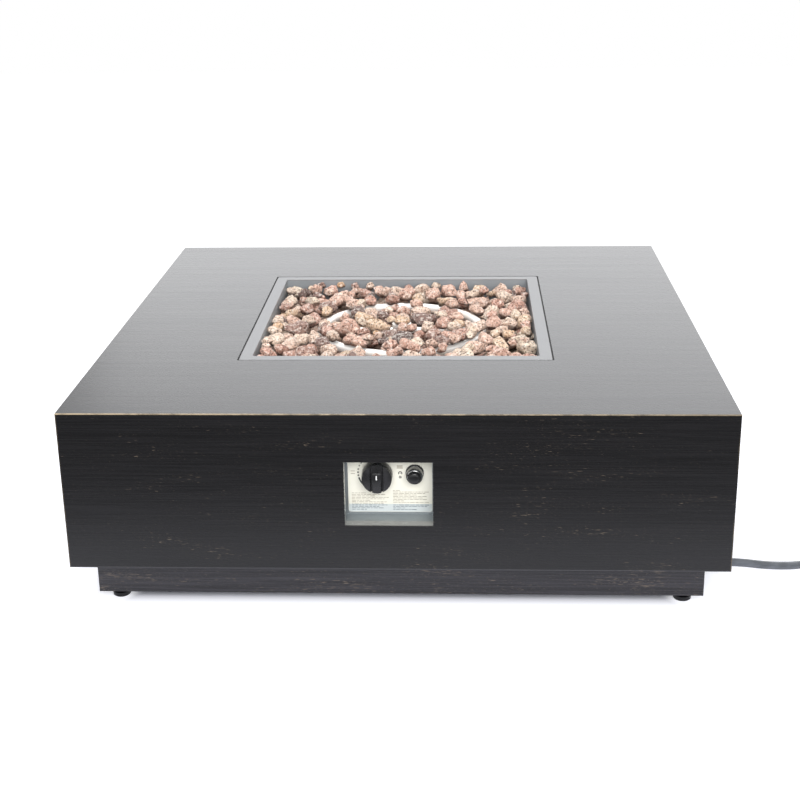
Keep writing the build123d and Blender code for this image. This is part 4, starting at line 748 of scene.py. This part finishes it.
def dial_print():
    """Marks round the knob, two signs by the igniter, and rows of strokes below."""
    rng = random.Random(4)
    bm = bmesh.new()
    arc(bm, KNOB_X, DIAL_Z, 0.0272, 150, 138, 0.0013, 0.0007)
    for angle, size in ((158, 0.0010), (169.5, 0.0012), (179.5, 0.0013), (189, 0.0013)):
        a = math.radians(angle)
        dot(bm, KNOB_X + DIAL_R * math.cos(a), DIAL_Z + DIAL_R * math.sin(a), size)
    arc(bm, KNOB_X, DIAL_Z, DIAL_R, 196, 240, 0.0023, 0.0005)
    for x, z, width in ((-0.0627, 0.2052, 0.0062), (-0.0627, 0.2012, 0.0058),
                        (0.0042, 0.2134, 0.0085), (0.0042, 0.2116, 0.0078),
                        (0.0042, 0.2098, 0.0088)):
        bar(bm, x, z, width, 0.0010, TAN)
    arc(bm, SIGN_X, SPARK_Z, 0.0023, -40, 220, 0.0013, 0.0013)
    dot(bm, SIGN_X, SPARK_Z, 0.0007, 8)
    for k in range(6):
        a = k * math.pi / 3
        dot(bm, SIGN_X + 0.0017 * math.cos(a), FLAME_Z + 0.0017 * math.sin(a), 0.0007, 6)
    dot(bm, SIGN_X, FLAME_Z, 0.0009, 8)
    text_rows(bm, rng, LEFT_TEXT, 0.1712, (0.45, 0.9, 0.62, 1.0, 0.95, 0.55, 1.0, 0.9), TAN)
    text_rows(bm, rng, RIGHT_TEXT, 0.1752, (0.2, 1.0, 0.9, 0.7, 1.0, 0.85, 0.95, 0.3, 1.0), TAN)
    foot = bar(bm, FIRE_X, 0.14835, 0.1192, 0.0119, FOOT)
    corners = [v for v in foot if v.co.z < 0.145]
    bmesh.ops.bevel(bm, geom=corners, offset=0.0036, segments=5, profile=0.5, affect="VERTICES",
                    material=-1)
    for v in foot:
        if v.is_valid:
            v.co.y += PRINT_LIFT / 2
    text_rows(bm, rng, LEFT_TEXT, FOOT_TEXT_Z, (0.96, 0.8, 0.9, 0.4), SLATE)
    text_rows(bm, rng, RIGHT_TEXT, FOOT_TEXT_Z, (1.0, 0.95, 0.4, 0.7), SLATE)
    piece_from(bm, "dial_print", "table", "label_print", "ink", "grey_ink", "foot_band", "slate_ink",
               smooth=False)


def once(items):
    """The items in their order, each one time."""
    return list(dict.fromkeys(items))


def turned(bm, profile, origin, steps):
    """Spins (radius, distance) points round a line to the front into a closed form."""
    origin = Vector(origin)
    line = [bm.verts.new(origin + FORWARD * along + SIDEWAYS * radius) for radius, along in profile]
    edges = [bm.edges.new(pair) for pair in zip(line, line[1:])]
    before = set(bm.verts) - set(line)
    bmesh.ops.spin(bm, geom=line + edges, cent=origin, axis=FORWARD, angle=2 * math.pi, steps=steps,
                   use_merge=True)
    mine = [v for v in bm.verts if v not in before]
    bmesh.ops.remove_doubles(bm, verts=mine, dist=1e-6)
    mine = [v for v in bm.verts if v not in before]
    bmesh.ops.recalc_face_normals(bm, faces=once(f for v in mine for f in v.link_faces))


def corners_of(geom):
    return [g for g in geom if isinstance(g, bmesh.types.BMVert)]


def knob_face(bm, cuts, front):
    """A slice of the knob's round face inside the given cuts, raised to its front."""
    spot = Matrix.Translation((KNOB_X, KNOB_STEP, DIAL_Z)) @ FACING_FRONT
    made = bmesh.ops.create_circle(bm, cap_ends=True, segments=KNOB_STEPS, radius=KNOB_R, matrix=spot)
    geom = once(g for v in made["verts"] for g in (v, *v.link_edges, *v.link_faces))
    for along, across, way in cuts:
        cut = bmesh.ops.bisect_plane(bm, geom=geom, plane_no=way, clear_outer=True,
                                     plane_co=(KNOB_X + along, 0, DIAL_Z + across))
        geom = [g for g in cut["geom"] if g.is_valid]
    face = next(g for g in geom if isinstance(g, bmesh.types.BMFace))
    raised = bmesh.ops.extrude_face_region(bm, geom=[face], use_keep_orig=True)["geom"]
    top = corners_of(raised)
    bmesh.ops.translate(bm, verts=top, vec=(0, front - KNOB_STEP, 0))
    return next(g for g in raised if isinstance(g, bmesh.types.BMFace)), top


def knob():
    """Hollow-backed round knob with two cheeks and a raised grip that falls to its foot."""
    bm = bmesh.new()
    turned(bm, KNOB_PROFILE, (KNOB_X, KNOB_BACK, DIAL_Z), KNOB_STEPS)
    for side in (-1, 1):
        face, _ = knob_face(bm, [(0.0086 * side, 0, (-side, 0, 0))], KNOB_CHEEK)
        bmesh.ops.bevel(bm, geom=list(face.edges), offset=0.0008, **ROUNDED)
    grip = [(-0.0070, 0, (-1, 0, 0)), (0.0070, 0, (1, 0, 0)), (0, 0.0108, (0, 0, 1))]
    face, rim = knob_face(bm, grip, KNOB_FRONT)
    brow = DIAL_Z - 0.001
    crest = DIAL_Z + 0.0083
    geom = [face, *face.edges, *face.verts]
    for height in (brow, crest):
        split = bmesh.ops.bisect_plane(bm, geom=geom, plane_co=(0, 0, height), plane_no=(0, 0, 1))
        rim += corners_of(split["geom_cut"])
        geom = [g for g in split["geom"] if g.is_valid]
    for v in rim:
        fall = (KNOB_CHEEK - KNOB_FRONT) * 0.8 * max(0.0, brow - v.co.z) / 0.020
        v.co.x += (KNOB_X - v.co.x) * 0.10
        v.co.y += fall + max(0.0, v.co.z - crest) * 0.6
    faces = once(g for v in rim for g in v.link_faces if all(w in rim for w in g.verts))
    edges = [e for e in once(e for g in faces for e in g.edges)
             if sum(g in faces for g in e.link_faces) == 1]
    bmesh.ops.bevel(bm, geom=edges, offset=0.0009, **ROUNDED)
    bmesh.ops.recalc_face_normals(bm, faces=bm.faces)
    piece = piece_from(bm, "knob_moulding", "knob", "knob_plastic", "knob")
    piece.data.set_sharp_from_angle(angle=math.radians(40))
    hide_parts("control_knob")


def igniter():
    """Turned cap with a stepped collar, and the domed button in it."""
    bm = bmesh.new()
    turned(bm, CAP_PROFILE, (IGNITER_X, CAP_BACK, DIAL_Z), IGNITER_STEPS)
    cap = piece_from(bm, "igniter_cap_moulding", "igniter_cap", "igniter_gloss", "gloss")
    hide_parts("igniter_cap")
    bm = bmesh.new()
    turned(bm, BUTTON_PROFILE, (IGNITER_X, BUTTON_BACK, DIAL_Z), IGNITER_STEPS)
    button = piece_from(bm, "igniter_button_dome", "igniter_button", "igniter_gloss", "button")
    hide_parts("igniter_button")


dial_print()
knob()
igniter()


# Studio: a pale floor with a painted pool of light round the table, soft lamps and a white surround
def studio():
    """A floor that is white to the camera, with a painted pool of light that the coat reflects and a
    glow that sets how far the shadow shows, and a white surround.
    """
    floor_mesh = bpy.data.meshes.new("studio_floor")
    bm = bmesh.new()
    bmesh.ops.create_grid(bm, x_segments=1, y_segments=1, size=6.0,
                          matrix=Matrix.Translation((0, 0, -0.0002)))
    bm.to_mesh(floor_mesh)
    bm.free()
    f = Finish("studio_floor_paint")
    direct, through, mirrored = (f.node("ShaderNodeLightPath", {}, {}, out=o)
                                 for o in ("Is Camera Ray", "Is Transmission Ray", "Is Glossy Ray"))
    seen = f.largest(direct, through)
    beyond = f.largest(abs(f.axis["x"]), abs(f.axis["y"])) - HALF
    # painted light: the floor is pale near the table and grey further out, and glows for glossy rays
    # near it, so the reflections in the coat run from light to dark
    painted_pool = f.step(beyond, 0.50, 0.08)
    cloud = f.noise(f.place, 3.0, 2.0)
    pale = f.mix(cloud, srgb(226, 227, 236), srgb(231, 232, 241))
    plain = f.node("ShaderNodeBsdfDiffuse", {}, {"Color": f.mix(painted_pool, srgb(106, 106, 108), pale)})
    # painted light: the floor's glow to the camera stops just inside the table's edge and reaches
    # further in at the ends, which sets how far the shadow shows
    clear = f.step(f.largest(abs(f.axis["x"]) * 1.08, abs(f.axis["y"])) - HALF, -0.060, -0.028)
    strength = seen * (clear * 0.55 + (1.0 - painted_pool) * 0.6) + mirrored * painted_pool * 0.19
    glow = f.node("ShaderNodeEmission", {}, {"Color": (0.98, 0.985, 1.0, 1), "Strength": strength})
    f.node_output(f.node("ShaderNodeAddShader", {}, {0: plain, 1: glow}))
    floor_mesh.materials.append(f.material)
    floor = bpy.data.objects.new("studio_floor", floor_mesh)
    bpy.context.scene.collection.objects.link(floor)
    world = bpy.data.worlds.new("studio_surround")
    world.use_nodes = True
    nodes, links = world.node_tree.nodes, world.node_tree.links
    nodes.clear()
    path = nodes.new("ShaderNodeLightPath")
    white = nodes.new("ShaderNodeBackground")
    soft = nodes.new("ShaderNodeBackground")
    soft.inputs["Color"].default_value = (0.98, 0.99, 1.0, 1.0)
    soft.inputs["Strength"].default_value = 0.45
    choose = nodes.new("ShaderNodeMixShader")
    most = nodes.new("ShaderNodeMath")
    most.operation = "MAXIMUM"
    links.new(path.outputs["Is Camera Ray"], most.inputs[0])
    links.new(path.outputs["Is Transmission Ray"], most.inputs[1])
    both = nodes.new("ShaderNodeMath")
    both.operation = "MAXIMUM"
    links.new(most.outputs[0], both.inputs[0])
    links.new(path.outputs["Is Glossy Ray"], both.inputs[1])
    links.new(both.outputs[0], choose.inputs[0])
    links.new(soft.outputs[0], choose.inputs[1])
    links.new(white.outputs[0], choose.inputs[2])
    white.inputs["Color"].default_value = (1, 1, 1, 1)
    end = nodes.new("ShaderNodeOutputWorld")
    links.new(choose.outputs[0], end.inputs["Surface"])
    bpy.context.scene.world = world


def softbox(name, at, towards, size, power, mirrored=True, tint=(1.0, 1.0, 1.0)):
    """A rectangular soft lamp, which may be kept out of reflections."""
    lamp = bpy.data.lights.new(name, "AREA")
    lamp.shape = "RECTANGLE"
    lamp.size, lamp.size_y = size
    lamp.energy = power
    lamp.color = tint
    holder = bpy.data.objects.new(name, lamp)
    holder.location = at
    holder.rotation_euler = (Vector(towards) - Vector(at)).to_track_quat("-Z", "Y").to_euler()
    holder.visible_camera = False
    holder.visible_glossy = mirrored
    bpy.context.scene.collection.objects.link(holder)


studio()
softbox("overhead_box", (-0.3, 0.5, 2.8), (0.0, 0.0, 0.2), (1.6, 1.6), 60)
softbox("back_box", (0.95, 3.2, 1.2), (0.0, 0.0, 0.3), (5.5, 1.8), 42.5, tint=(0.97, 0.98, 1.0))
softbox("front_box", (0.5, -3.4, 1.5), (0.0, -0.3, 0.2), (3.0, 2.0), 90, mirrored=False)
softbox("glint_box", (0.3, -2.85, 1.76), (0.0, -0.45, 0.2), (1.6, 0.9), 28)

# Camera: focal length and picture side in pixels, and the sensor in millimetres
FOCAL = 1365.0
PICTURE_SIDE = 800
SENSOR = 36

camera = bpy.data.cameras.new("studio_camera")
camera.lens = FOCAL / PICTURE_SIDE * SENSOR
camera.shift_y = -0.05
stand = bpy.data.objects.new("studio_camera", camera)
pitch, yaw, roll = (math.radians(a) for a in (18.737, -2.780, -0.898))
look = Vector((math.sin(yaw) * math.cos(pitch), math.cos(yaw) * math.cos(pitch), -math.sin(pitch)))
stand.location = CAMERA_AT
stand.rotation_euler = (look.to_track_quat("-Z", "Y") @ Quaternion((0, 0, 1), roll)).to_euler()
bpy.context.scene.collection.objects.link(stand)
bpy.context.scene.camera = stand
bpy.context.scene.view_settings.view_transform = "Standard"
